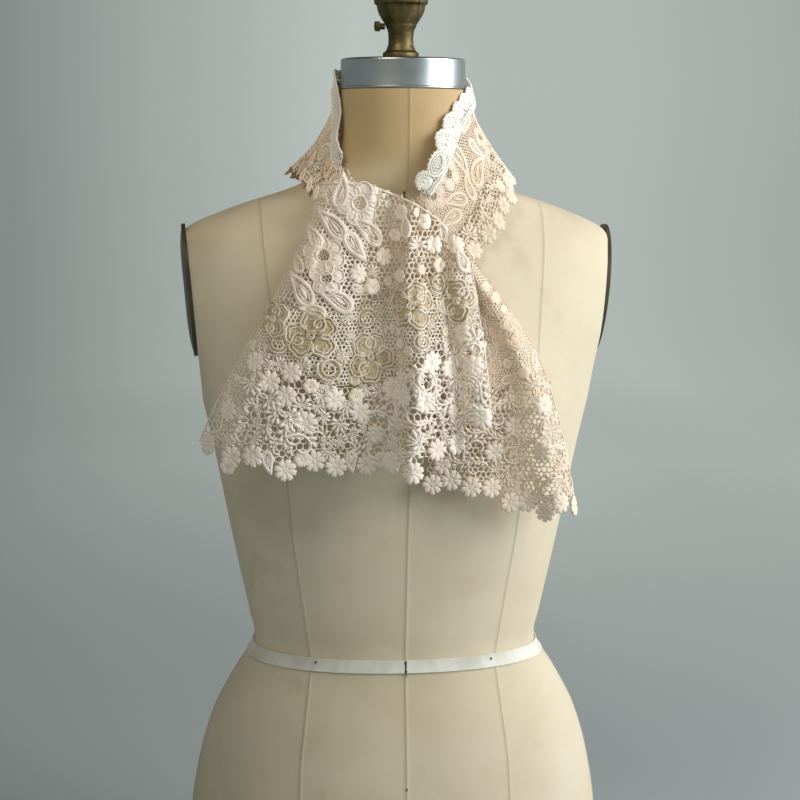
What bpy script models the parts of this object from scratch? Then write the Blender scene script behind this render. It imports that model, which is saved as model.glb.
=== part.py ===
"""Lace scarf wound round the neck of a limbless dress form, at real size.

The frame: metres, +Z up, the form faces -Y, +X is the viewer's right, and the origin is
the centre of the form's flat underside, on which the part stands.

The scarf is one long cloth pieced from bands of heavy lace. It runs round the neck as a
collar and crosses at the throat. One end falls over the chest as a wide bib and the other
comes out under it as a tail. Each band is a thin wall with real gaps cut through its net.
"""

import math

import bmesh
import bpy
import numpy as np
from mathutils import Matrix, Vector

MM = 0.001

# The cloth
WALL = 1.3 * MM
SEAM_GAP = 0.3 * MM
STRUT = 2.6 * MM
FLOWER_RADIUS = 9.0 * MM
FLOWER_DROP = 4.0 * MM
FLOWER_RELIEF = 1.2 * MM
ROSETTE_RELIEF = 1.2 * MM
ROSETTE_PITCH = 34 * MM

# The dress form
SECTION_POWER = 2.2
FORM_SIDES = 32
BUST = {"x": 72 * MM, "height": 468 * MM, "half_width": 52 * MM, "half_height": 58 * MM, "depth": 12 * MM}
NECK_TOP = 725.5 * MM
CAP_HEIGHT = 25.5 * MM
CAP_RADIUS = 52.8 * MM
CAP_CENTRE = (2.4 * MM, -22 * MM)
FINIAL_X = 0.4 * MM
PLATE_HEIGHT = 114 * MM
PLATE_DEPTH = 80 * MM
PLATE_THICKNESS = 3 * MM
PLATE_DOME = 3.5 * MM
PLATE_CENTRE = {"x": 175.5 * MM, "y": 2 * MM, "z": 556 * MM}
PLATE_LEAN = math.radians(5.2)
WAIST_HEIGHT = 245 * MM
TAPE_WIDTH = 11 * MM
TAPE_THICKNESS = 0.8 * MM

# The neck stands a little to the viewer's right of the form's middle.
NECK_SHIFT = 2.4 * MM
NECK_SHIFT_HEIGHTS = (625 * MM, 680 * MM)

# Horizontal sections of the form, from its underside to the top of its neck, in millimetres.
# height, half width, depth in front of the centre, depth behind it, y of the centre
FORM_SECTIONS = np.array([
    (0, 171, 104, 116, 0),
    (60, 180, 108, 126, 0),
    (105, 178.5, 106, 122, 0),
    (137, 173.5, 103, 115, 0),
    (165, 167, 99, 107, 0),
    (192, 157.5, 95, 101, 0),
    (212, 147, 91, 96, 0),
    (228, 137.5, 88, 91, 0),
    (238, 130.5, 87, 88, 0),
    (246, 125, 86, 86, 0),
    (256, 123, 86, 85.5, 0),
    (275, 127, 88, 86, 0),
    (301, 132.6, 91, 88, 0),
    (328, 138.5, 95, 90, 0),
    (355, 144, 99, 93, 0),
    (390, 151, 105, 97, 0),
    (425, 158, 110, 101, 0),
    (460, 166, 113, 104, 0),
    (501, 174.5, 108, 106, 0),
    (525, 182, 103, 106, 0),
    (550, 187.5, 97, 106, 0),
    (590, 188, 84, 100, 0),
    (604, 184, 77, 93, 0),
    (612, 175, 72, 87, 0),
    (618, 163, 68.5, 82.5, -1),
    (624, 148, 65, 78, -2),
    (631, 129, 61, 72, -4),
    (638, 107, 58.5, 64, -7),
    (645, 88, 57, 57, -11),
    (653, 75, 55.5, 52, -14),
    (664, 62, 53.5, 50, -17),
    (680, 54, 52.5, 49.5, -20),
    (700, 52, 52, 49.5, -21),
    (725.5, 51.8, 52, 49.5, -22),
], float) * MM

# How cloth hangs over the form: it spans hollows, and it stands off the form's sides.
DRAPE_SPREAD = 50 * MM
DRAPE_POWER = 3.0
DRAPE_SOFTNESS = 3 * MM
DRAPE_TOP = 690 * MM

# The bib's lines across the cloth, from its upper edge to its hem, as x and height in
# millimetres at five places from the viewer's left edge to the right one.
BIB_ALONG = np.array([0.0, 0.19, 0.38, 0.62, 0.81, 1.0])
BIB_ACROSS = np.array([0.0, 0.25, 0.5, 0.75, 1.0])
BIB_LINES = np.array([
    [(-69, 648), (-47, 650), (-14, 641), (22, 621), (53, 588)],
    [(-87, 599), (-58, 599), (-20, 603), (20, 602), (52, 585)],
    [(-111, 554), (-70, 546), (-26, 556), (14, 573), (51, 580)],
    [(-129, 524), (-84, 497), (-32, 488), (15, 519), (55, 541)],
    [(-155, 477), (-101, 461), (-42, 456), (12, 474), (59, 504)],
    [(-171, 440), (-117, 426), (-51, 424), (8, 427), (61, 466)],
], float) * MM
BIB_SEAMS = (0.38, 0.62)
BIB_CLEARANCE = 11 * MM
# across at the top, across at the hem, half width across, height at the top, height at the hem
BIB_FOLDS = (
    (0.30, 0.22, 0.150, 3 * MM, 20 * MM),
    (0.52, 0.50, 0.045, 5 * MM, 3 * MM),
    (0.66, 0.75, 0.095, 7 * MM, 21 * MM),
    (0.90, 0.97, 0.055, 6 * MM, 15 * MM),
)
BIB_EDGE_ROLL = {"across": 0.07, "depth": 9 * MM}

# The tail's lines in the same way, at four places across it.
TAIL_ALONG = np.array([0.0, 0.25, 0.5, 0.75, 1.0])
TAIL_ACROSS = np.array([0.0, 0.33, 0.67, 1.0])
TAIL_LINES = np.array([
    [(18, 580), (29, 583), (41, 585), (53, 587)],
    [(22, 536), (43, 538), (65, 540), (85, 542)],
    [(20, 486), (50, 487), (79, 495), (106, 508)],
    [(14, 444), (53, 441), (91, 442), (125, 447)],
    [(12, 408), (54, 404), (98, 386), (138, 388)],
], float) * MM
TAIL_SEAM = 0.55
TAIL_CLEARANCE = 2.1 * MM
TAIL_FOLDS = (
    (0.80, 0.86, 0.130, 5 * MM, 17 * MM),
    (0.30, 0.34, 0.120, 0 * MM, 3 * MM),
)
TAIL_EDGE_ROLL = {"across": 0.06, "depth": 6 * MM}

# The collar's sections, from the viewer's right throat round the back to the left throat.
# Each has four points from the upper edge to the hem: the edge, the trough, the ridge and
# the hem, as the turn round the neck in degrees (0 is the front, 90 the viewer's left, 180
# the back), the distance from the neck's axis and the height in millimetres.
COLLAR_AXIS = (2.4 * MM, -18 * MM)
COLLAR_ALONG = np.array([0, 0.028, 0.08, 0.14, 0.22, 0.33, 0.44, 0.545, 0.65, 0.755, 0.84, 0.92, 1.0])
COLLAR_ACROSS = np.array([0.0, 0.3, 0.6, 1.0])
COLLAR_SECTIONS = np.array([
    [(356, 63, 636), (343, 68, 619), (334, 77, 603), (326, 86, 590)],
    [(350, 64, 645), (336, 69, 629), (325, 78, 612), (318, 87, 599)],
    [(340, 64.5, 663), (325, 68, 646), (315, 80, 630), (310, 93, 614)],
    [(330, 59.5, 684), (312, 65, 668), (302, 80, 647), (301, 94, 630)],
    [(308, 56.5, 708), (298, 63, 688), (289, 77, 664), (288, 92, 646)],
    [(268, 56, 723), (269, 61, 702), (270, 76, 677), (271, 86, 660)],
    [(225, 54, 729), (225, 54.5, 702), (225, 74, 670), (225, 104, 642)],
    [(180, 53, 731), (180, 47.3, 702), (180, 74, 665), (180, 114, 608)],
    [(135, 54, 730), (135, 54.5, 703), (135, 74, 670), (135, 104, 642)],
    [(92, 55, 731), (92, 59, 706), (91, 73, 680), (88, 89, 661)],
    [(74, 57, 700), (76, 63, 688), (76, 76, 668), (74, 87, 651)],
    [(62, 65, 673), (63, 69, 662), (63, 76, 649), (62, 84, 637)],
    [(46, 66, 650), (47, 69, 641), (49, 74, 632), (51, 80, 621)],
], float)
COLLAR_STRETCHES = (("right", 0.0, 0.385), ("back", 0.385, 0.70), ("left", 0.70, 1.0))
COLLAR_SEAM = 0.56
COLLAR_WAVES = 9
COLLAR_WAVE_DEPTH = 3 * MM

# The edging, a solid strip with a scalloped free edge, folded out along the upper edge.
EDGING_START, EDGING_END = 0.02, 0.955
EDGING_ON_COLLAR = 0.18
EDGING_LIFT = WALL + 1.1 * MM
EDGING_REACH = 5.5 * MM
SCALLOP_DEPTH = 4.5 * MM
SCALLOP_LENGTH = 16 * MM


def cubic(keys, values, at):
    """Values read from a smooth curve through rows of a table. It runs straight on past the ends."""
    at = np.asarray(at, float)
    flat = at.reshape(-1)
    tables = np.broadcast_to(values, (len(flat),) + values.shape)
    return cubic_each(keys, tables, flat).reshape(at.shape + values.shape[1:])


def cubic_each(keys, tables, at):
    """The same with one table for each value of at."""
    slopes = np.gradient(tables, keys, axis=1)
    row = np.clip(np.searchsorted(keys, at, side="right") - 1, 0, len(keys) - 2)
    span = keys[row + 1] - keys[row]
    t = (at - keys[row]) / span
    inside = np.clip(t, 0, 1)
    shape = (-1,) + (1,) * (tables.ndim - 2)
    s, width = inside.reshape(shape), span.reshape(shape)
    beyond = ((t - inside) * span).reshape(shape)
    each = np.arange(len(at))
    low, high = tables[each, row], tables[each, row + 1]
    rise_low, rise_high = slopes[each, row], slopes[each, row + 1]
    curve = (
        (2 * s**3 - 3 * s**2 + 1) * low
        + (s**3 - 2 * s**2 + s) * width * rise_low
        + (3 * s**2 - 2 * s**3) * high
        + (s**3 - s**2) * width * rise_high
    )
    return curve + beyond * np.where(beyond < 0, slopes[:, 0], slopes[:, -1])


def form_section(height):
    """Half width, front depth, back depth and centre y of the form at a height."""
    return np.moveaxis(cubic(FORM_SECTIONS[:, 0], FORM_SECTIONS[:, 1:], height), -1, 0)


def neck_shift(height):
    """How far to the viewer's right the form's middle lies at a height."""
    low, high = NECK_SHIFT_HEIGHTS
    share = np.clip((height - low) / (high - low), 0, 1)
    return NECK_SHIFT * share * share * (3 - 2 * share)


def bust_relief(x, height):
    """How far the bust stands out of the plain section, in front."""
    rise = np.exp(-(((height - BUST["height"]) / BUST["half_height"]) ** 2))
    sides = sum(np.exp(-(((x - side * BUST["x"]) / BUST["half_width"]) ** 2)) for side in (-1, 1))
    return BUST["depth"] * rise * sides


def form_front(x, height):
    """How far in front of y = 0 the form's surface lies. It ends at the form's sides."""
    half, front, _, centre = form_section(height)
    away = np.abs(x - neck_shift(height)) / half
    share = np.clip(1 - away**SECTION_POWER, 0, 1) ** (1 / SECTION_POWER)
    return (front + bust_relief(x, height)) * share - centre


DRAPE_HEIGHTS = np.linspace(DRAPE_TOP, 0.3, 200)
DRAPE_DEPTHS = np.maximum.accumulate(form_front(np.zeros(200), DRAPE_HEIGHTS))


def drape_front(x, height):
    """How far in front of y = 0 cloth lies that hangs over the form."""
    depth = np.interp(-height, -DRAPE_HEIGHTS, DRAPE_DEPTHS)
    half = form_section(height)[0] + DRAPE_SPREAD
    share = np.clip(1 - (np.abs(x) / half) ** DRAPE_POWER, 0.02, 1) ** (1 / DRAPE_POWER)
    hung, body = depth * share, form_front(x, height)
    return DRAPE_SOFTNESS * np.logaddexp(hung / DRAPE_SOFTNESS, body / DRAPE_SOFTNESS)


def fold_relief(folds, across, along):
    """Height of the folds: soft ridges that run from the throat to the hem and grow on the way."""
    relief = np.zeros(np.broadcast(across, along).shape)
    fall = np.clip(along, 0, 1.1)
    for top, hem, half_width, top_height, hem_height in folds:
        middle = top + (hem - top) * fall
        height = top_height + (hem_height - top_height) * fall**0.8
        relief = relief + height * np.exp(-(((across - middle) / half_width) ** 2))
    return relief


def hanging_point(lines, across_keys, along_keys, across, along):
    """x and height of a point of a hanging end, from the table of its lines."""
    by_line = cubic(along_keys, lines, along.reshape(-1))
    return cubic_each(across_keys, by_line, across.reshape(-1)).reshape(across.shape + (2,))


def hanging_surface(across, along, lines, across_keys, along_keys, folds, clearance, rolls):
    across, along = np.broadcast_arrays(np.asarray(across, float), np.asarray(along, float))
    place = hanging_point(lines, across_keys, along_keys, across, along)
    x, height = place[..., 0], place[..., 1]
    depth = drape_front(x, height) + clearance + fold_relief(folds, across, along)
    for edge, roll in rolls:
        near = np.clip(1 - np.abs(across - edge) / roll["across"], 0, 1)
        depth = depth - roll["depth"] * near**2
    return np.stack([x, -depth, height], axis=-1)


def bib_surface(across, along):
    """A point of the front end, from the viewer's left edge and from the throat."""
    rolls = ((0.0, BIB_EDGE_ROLL),)
    return hanging_surface(across, along, BIB_LINES, BIB_ACROSS, BIB_ALONG, BIB_FOLDS, BIB_CLEARANCE, rolls)


def tail_surface(across, along):
    """A point of the other end, which hangs closer to the form."""
    rolls = ((1.0, TAIL_EDGE_ROLL),)
    return hanging_surface(
        across, along, TAIL_LINES, TAIL_ACROSS, TAIL_ALONG, TAIL_FOLDS, TAIL_CLEARANCE, rolls
    )


def collar_surface(around, down):
    """A point of the collar, from the right throat round the back and from its upper edge."""
    around, down = np.broadcast_arrays(np.asarray(around, float), np.asarray(down, float))
    by_section = cubic(COLLAR_ALONG, COLLAR_SECTIONS, around.reshape(-1))
    place = cubic_each(COLLAR_ACROSS, by_section, down.reshape(-1)).reshape(around.shape + (3,))
    turn = np.radians(place[..., 0])
    wave = 0.5 - 0.5 * np.cos(2 * np.pi * COLLAR_WAVES * around)
    radius = place[..., 1] * MM + COLLAR_WAVE_DEPTH * wave * np.clip(down, 0, 1.2) ** 2
    height = place[..., 2] * MM
    x, y = COLLAR_AXIS[0] - radius * np.sin(turn), COLLAR_AXIS[1] - radius * np.cos(turn)
    return np.stack([x, y, height], axis=-1)


COLLAR_STEPS = np.linspace(0, 1, 200)
COLLAR_EDGE = collar_surface(COLLAR_STEPS, 0 * COLLAR_STEPS)
COLLAR_RUN = np.concatenate([[0], np.cumsum(np.linalg.norm(np.diff(COLLAR_EDGE, axis=0), axis=1))])


def edging_surface(around, inward):
    """A point of the edging: inward is 0 at its scalloped edge and 1 where it is sewn on the collar."""
    around, inward = np.broadcast_arrays(np.asarray(around, float), np.asarray(inward, float))
    out = 1 - inward
    run = np.interp(around, COLLAR_STEPS, COLLAR_RUN)
    reach = EDGING_REACH + SCALLOP_DEPTH * np.abs(np.sin(np.pi * run / SCALLOP_LENGTH))
    down = EDGING_ON_COLLAR * np.clip(1 - 1.6 * out, 0, 1)
    sewn, _, to_hem, normal, _, _ = frame_at(collar_surface, around, down)
    beyond = reach * np.clip((out - 0.625) / 0.375, 0, 1.5)
    return sewn + normal * EDGING_LIFT - to_hem * beyond[..., None]


def frame_at(surface, u, v):
    """The point there, the unit steps along u and v, and the outward normal."""
    step = 1e-3
    point = surface(u, v)
    along_u = surface(u + step, v) - surface(u - step, v)
    along_v = surface(u, v + step) - surface(u, v - step)
    length_u = np.linalg.norm(along_u, axis=-1, keepdims=True)
    length_v = np.linalg.norm(along_v, axis=-1, keepdims=True)
    normal = np.cross(along_v, along_u)
    normal = normal / np.maximum(np.linalg.norm(normal, axis=-1, keepdims=True), 1e-12)
    return point, along_u / length_u, along_v / length_v, normal, length_u / (2 * step), length_v / (2 * step)


def material(name, colour, roughness, metallic=0.0):
    made = bpy.data.materials.new(name)
    made.use_nodes = True
    shader = made.node_tree.nodes["Principled BSDF"]
    shader.inputs["Base Color"].default_value = (*colour, 1)
    shader.inputs["Roughness"].default_value = roughness
    shader.inputs["Metallic"].default_value = metallic
    return made


def new_object(name, mesh, finish):
    mesh.materials.append(finish)
    made = bpy.data.objects.new(name, mesh)
    bpy.context.scene.collection.objects.link(made)
    return made


class Cloth:
    """The points and faces of one band, before its wall gets its thickness."""

    def __init__(self):
        self.points, self.normals, self.reliefs, self.faces = [], [], [], []

    def add(self, point, normal, relief=0.0):
        self.points.append(np.array(point))
        self.normals.append(np.array(normal))
        self.reliefs.append(relief)
        return len(self.points) - 1

    def wall(self, name, finish):
        """The band as one closed wall: a plain inside, an outside with its relief, and its rims."""
        shape = bmesh.new()
        inside = [shape.verts.new(p) for p in self.points]
        outside = [
            shape.verts.new(p + n * (WALL + r))
            for p, n, r in zip(self.points, self.normals, self.reliefs)
        ]
        edges = {}
        for face in self.faces:
            shape.faces.new([outside[i] for i in face])
            shape.faces.new([inside[i] for i in reversed(face)])
            for a, b in zip(face, face[1:] + face[:1]):
                edges[(a, b)] = edges.get((a, b), 0) + 1
        for a, b in edges:
            if (b, a) not in edges:
                shape.faces.new([outside[b], outside[a], inside[a], inside[b]])
        mesh = bpy.data.meshes.new(name)
        shape.to_mesh(mesh)
        shape.free()
        return new_object(name, mesh, finish)


def band(name, finish, surface, columns, rows, u_range, v_range, is_open=None, relief=None, flowers=()):
    """One band of cloth on a surface: a grid of cells, some cut open, and flowers along its hem."""
    cloth = Cloth()
    u = np.linspace(*u_range, columns + 1)
    v = np.linspace(*v_range, rows + 1)
    grid_u, grid_v = np.meshgrid(u, v, indexing="ij")
    points, _, _, normals, size_u, size_v = frame_at(surface, grid_u, grid_v)
    bumps = relief(grid_u, grid_v) if relief else np.zeros(grid_u.shape)
    index = [
        [cloth.add(points[i, j], normals[i, j], bumps[i, j]) for j in range(rows + 1)]
        for i in range(columns + 1)
    ]
    holes = []
    for i in range(columns):
        for j in range(rows):
            ring = [index[i][j], index[i][j + 1], index[i + 1][j + 1], index[i + 1][j]]
            if is_open and is_open(i, j):
                holes.append((i, j, ring))
            else:
                cloth.faces.append(ring)
    for i, j, ring in holes:
        across = size_u[i, j, 0] * (u[1] - u[0])
        down = size_v[i, j, 0] * (v[1] - v[0])
        inset_u = min(0.5 * STRUT / across, 0.3)
        inset_v = min(0.5 * STRUT / down, 0.3)
        rim = []
        for share_u, share_v in ((inset_u, inset_v), (inset_u, 1 - inset_v),
                                 (1 - inset_u, 1 - inset_v), (1 - inset_u, inset_v)):
            weights = ((1 - share_u) * (1 - share_v), (1 - share_u) * share_v,
                       share_u * share_v, share_u * (1 - share_v))
            place = sum(w * cloth.points[c] for w, c in zip(weights, ring))
            normal = sum(w * cloth.normals[c] for w, c in zip(weights, ring))
            rim.append(cloth.add(place, normal / np.linalg.norm(normal)))
        for side in range(4):
            after = (side + 1) % 4
            cloth.faces.append([ring[side], ring[after], rim[after], rim[side]])
    for i in flowers:
        add_hem_flower(cloth, surface, 0.5 * (u[i] + u[i + 1]), v[-1], index[i][rows], index[i + 1][rows])
    return cloth.wall(name, finish), len(holes)


def add_hem_flower(cloth, surface, u, v, left, right):
    """A flower that hangs from one cell of the hem: a raised heart and a rim of soft petals."""
    point, along_u, along_v, normal, _, _ = frame_at(surface, u, v)
    half = 0.5 * np.linalg.norm(cloth.points[right] - cloth.points[left])
    middle = cloth.add(point + along_v * FLOWER_DROP, normal, FLOWER_RELIEF)
    start = math.atan2(half, FLOWER_DROP)
    petals = 7
    rim = []
    for step in range(1, petals + 1):
        angle = start + (2 * math.pi - 2 * start) * step / (petals + 1)
        radius = FLOWER_RADIUS * (1.0 if step % 2 else 0.82)
        place = (
            point
            + along_v * (FLOWER_DROP - radius * math.cos(angle))
            - along_u * radius * math.sin(angle)
        )
        rim.append(cloth.add(place, normal))
    ring = [left, *rim, right]
    for a, b in zip(ring, ring[1:]):
        cloth.faces.append([a, b, middle])
    cloth.faces.append([right, left, middle])


def net_cells(solid_share_columns, solid_share_rows, first_open_row, last_open_row):
    """Which cells of a border are gaps: its net is open but for a trellis of flowers and stems."""
    def is_open(i, j):
        on_flower = (i + 2 * (j // 2)) % solid_share_columns == 0 and j % solid_share_rows != 1
        return first_open_row <= j <= last_open_row and not on_flower
    return is_open


def rosette_relief(surface, start, end):
    """Relief of the rosettes: a row of rounded discs along the band, which fade out at its seams."""
    def relief(u, v):
        _, _, _, _, size_u, _ = frame_at(surface, u, v)
        across = np.sin(np.pi * u * size_u.mean() / ROSETTE_PITCH)
        down = np.sin(np.pi * (v - start) / (end - start))
        return ROSETTE_RELIEF * across**2 * down**2
    return relief


def clear_scene():
    for old in list(bpy.data.objects):
        bpy.data.objects.remove(old)


def lathe(name, finish, profile, sides, centre):
    """A turned piece from its profile of radius and height, bottom to top, closed at both ends."""
    shape = bmesh.new()
    rings = []
    for radius, height in profile:
        ring = [
            shape.verts.new((
                centre[0] + radius * math.cos(2 * math.pi * k / sides),
                centre[1] + radius * math.sin(2 * math.pi * k / sides),
                height,
            ))
            for k in range(sides)
        ]
        rings.append(ring)
    for low, high in zip(rings, rings[1:]):
        for k in range(sides):
            n = (k + 1) % sides
            shape.faces.new([low[k], low[n], high[n], high[k]])
    shape.faces.new(list(reversed(rings[0])))
    shape.faces.new(rings[-1])
    mesh = bpy.data.meshes.new(name)
    shape.to_mesh(mesh)
    shape.free()
    mesh.shade_smooth()
    return new_object(name, mesh, finish)


def section_ring(height, sides, outward=0.0):
    """The form's outline at a height, anticlockwise from above, moved outward by a distance."""
    half, front, back, centre = (float(value) for value in form_section(height))
    angle = 2 * np.pi * np.arange(sides) / sides
    power = 2 / SECTION_POWER
    x = half * np.sign(np.cos(angle)) * np.abs(np.cos(angle)) ** power
    rise = np.sign(np.sin(angle)) * np.abs(np.sin(angle)) ** power
    depth = np.where(rise < 0, front + bust_relief(x, height), back)
    y = centre + depth * rise
    outline = np.stack([x + neck_shift(height), y], axis=-1)
    if outward:
        after, before = np.roll(outline, -1, axis=0), np.roll(outline, 1, axis=0)
        run = after - before
        normal = np.stack([run[:, 1], -run[:, 0]], axis=-1)
        outline = outline + outward * normal / np.linalg.norm(normal, axis=1, keepdims=True)
    return [(float(a), float(b), height) for a, b in outline]


def plate_matrix(side):
    """Where an arm plate sits: its own z axis points out of the form's side and leans with it."""
    centre = Vector((side * PLATE_CENTRE["x"], PLATE_CENTRE["y"], PLATE_CENTRE["z"]))
    lean = Matrix.Rotation(side * (math.pi / 2 + PLATE_LEAN), 4, "Y")
    return Matrix.Translation(centre) @ lean


def build_form_body(finish):
    beside_tape = [WAIST_HEIGHT - 0.6 * TAPE_WIDTH, WAIST_HEIGHT + 0.6 * TAPE_WIDTH]
    elsewhere = [row[0] for row in FORM_SECTIONS if abs(row[0] - WAIST_HEIGHT) > 0.7 * TAPE_WIDTH]
    heights = sorted(elsewhere + beside_tape)
    shape = bmesh.new()
    rings = [[shape.verts.new(p) for p in section_ring(h, FORM_SIDES)] for h in heights]
    for low, high in zip(rings, rings[1:]):
        for k in range(FORM_SIDES):
            n = (k + 1) % FORM_SIDES
            shape.faces.new([low[k], low[n], high[n], high[k]])
    shape.faces.new(list(reversed(rings[0])))
    shape.faces.new(rings[-1])
    mesh = bpy.data.meshes.new("form_body")
    shape.to_mesh(mesh)
    shape.free()
    body = new_object("form_body", mesh, finish)
    for side in (-1, 1):
        block = bmesh.new()
        bmesh.ops.create_cube(block, size=1.0)
        reach = 0.2
        block.transform(
            plate_matrix(side) @ Matrix.Translation((0, 0, reach / 2)) @ Matrix.Diagonal((reach, reach, reach, 1))
        )
        cut_mesh = bpy.data.meshes.new("armhole_cutter")
        block.to_mesh(cut_mesh)
        block.free()
        cutter = bpy.data.objects.new("armhole_cutter", cut_mesh)
        bpy.context.scene.collection.objects.link(cutter)
        cutter.hide_render = True
        cutter.display_type = "WIRE"
        cut = body.modifiers.new("armhole", "BOOLEAN")
        cut.operation = "DIFFERENCE"
        cut.object = cutter
        cut.solver = "EXACT"
    return body


def build_arm_plate(name, side, finish):
    """An oval plate with a low dome, on the flat cut at the form's shoulder."""
    sides = 28
    shape = bmesh.new()
    face = SEAM_GAP + PLATE_THICKNESS
    levels = (
        (SEAM_GAP, 0.0), (face, 0.0), (face + 0.6 * PLATE_DOME, -12 * MM), (face + PLATE_DOME, -28 * MM),
    )
    place = plate_matrix(side)
    rings = []
    for out, grow in levels:
        ring = []
        for k in range(sides):
            angle = 2 * math.pi * k / sides
            local = Vector((
                (PLATE_HEIGHT / 2 + grow) * math.cos(angle), (PLATE_DEPTH / 2 + grow) * math.sin(angle), out,
            ))
            ring.append(shape.verts.new(place @ local))
        rings.append(ring)
    for low, high in zip(rings, rings[1:]):
        for k in range(sides):
            n = (k + 1) % sides
            shape.faces.new([low[k], low[n], high[n], high[k]])
    shape.faces.new(list(reversed(rings[0])))
    shape.faces.new(rings[-1])
    mesh = bpy.data.meshes.new(name)
    shape.to_mesh(mesh)
    shape.free()
    return new_object(name, mesh, finish)


def build_waist_tape(finish):
    """A flat tape round the waist, just clear of the form."""
    shape = bmesh.new()
    low, high = WAIST_HEIGHT - TAPE_WIDTH / 2, WAIST_HEIGHT + TAPE_WIDTH / 2
    clear = 0.6 * MM
    corners = ((low, clear), (low, clear + TAPE_THICKNESS), (high, clear + TAPE_THICKNESS), (high, clear))
    rings = [[shape.verts.new(p) for p in section_ring(h, FORM_SIDES, out)] for h, out in corners]
    for here, there in zip(rings, rings[1:] + rings[:1]):
        for k in range(FORM_SIDES):
            n = (k + 1) % FORM_SIDES
            shape.faces.new([here[k], here[n], there[n], there[k]])
    mesh = bpy.data.meshes.new("waist_tape")
    shape.to_mesh(mesh)
    shape.free()
    return new_object("waist_tape", mesh, finish)


def build_hardware(steel, brass):
    """The neck cap and the cast finial that clamps the form's pole."""
    bottom = NECK_TOP + SEAM_GAP
    top = bottom + CAP_HEIGHT
    cap_profile = (
        (CAP_RADIUS - 0.8 * MM, bottom),
        (CAP_RADIUS, bottom + 0.8 * MM),
        (CAP_RADIUS, top - 2.5 * MM),
        (CAP_RADIUS - 0.8 * MM, top - 0.7 * MM),
        (CAP_RADIUS - 3 * MM, top),
    )
    lathe("neck_cap", steel, cap_profile, 36, CAP_CENTRE)
    foot = top + SEAM_GAP
    finial_profile = [
        (radius * MM, foot + height * MM)
        for radius, height in (
            (13, 0), (15, 1.5), (15, 5), (11.5, 9), (10.5, 12), (10.8, 22), (13.5, 29), (18.5, 37),
            (20.5, 44), (22.5, 46), (22.5, 50), (20, 52), (19, 56), (14.5, 63), (8, 67), (3, 68),
        )
    ]
    lathe("finial", brass, finial_profile, 18, (FINIAL_X, CAP_CENTRE[1]))


def build_set_screw(finish):
    """A square-headed screw in the finial's side: its shank and head are one turned piece."""
    height = NECK_TOP + CAP_HEIGHT + 2 * SEAM_GAP + 26.5 * MM
    seat = 13.6 * MM - FINIAL_X
    profile = ((2.6, 0.0), (2.6, 4.0), (4.4, 4.2), (4.4, 8.2))
    sides = 8
    shape = bmesh.new()
    rings = []
    for radius, out in profile:
        ring = []
        for k in range(sides):
            angle = 2 * math.pi * (k + 0.5) / sides
            ring.append(shape.verts.new((
                -seat - out * MM,
                CAP_CENTRE[1] + radius * MM * math.cos(angle),
                height + radius * MM * math.sin(angle),
            )))
        rings.append(ring)
    for near, far in zip(rings, rings[1:]):
        for k in range(sides):
            n = (k + 1) % sides
            shape.faces.new([near[k], far[k], far[n], near[n]])
    shape.faces.new(rings[0])
    shape.faces.new(list(reversed(rings[-1])))
    mesh = bpy.data.meshes.new("set_screw")
    shape.to_mesh(mesh)
    shape.free()
    return new_object("set_screw", mesh, finish)


def surface_length(surface, u_values, v_values):
    """Length of a line drawn on a surface."""
    line = surface(u_values, v_values)
    return float(np.linalg.norm(np.diff(line, axis=0), axis=1).sum())


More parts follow.
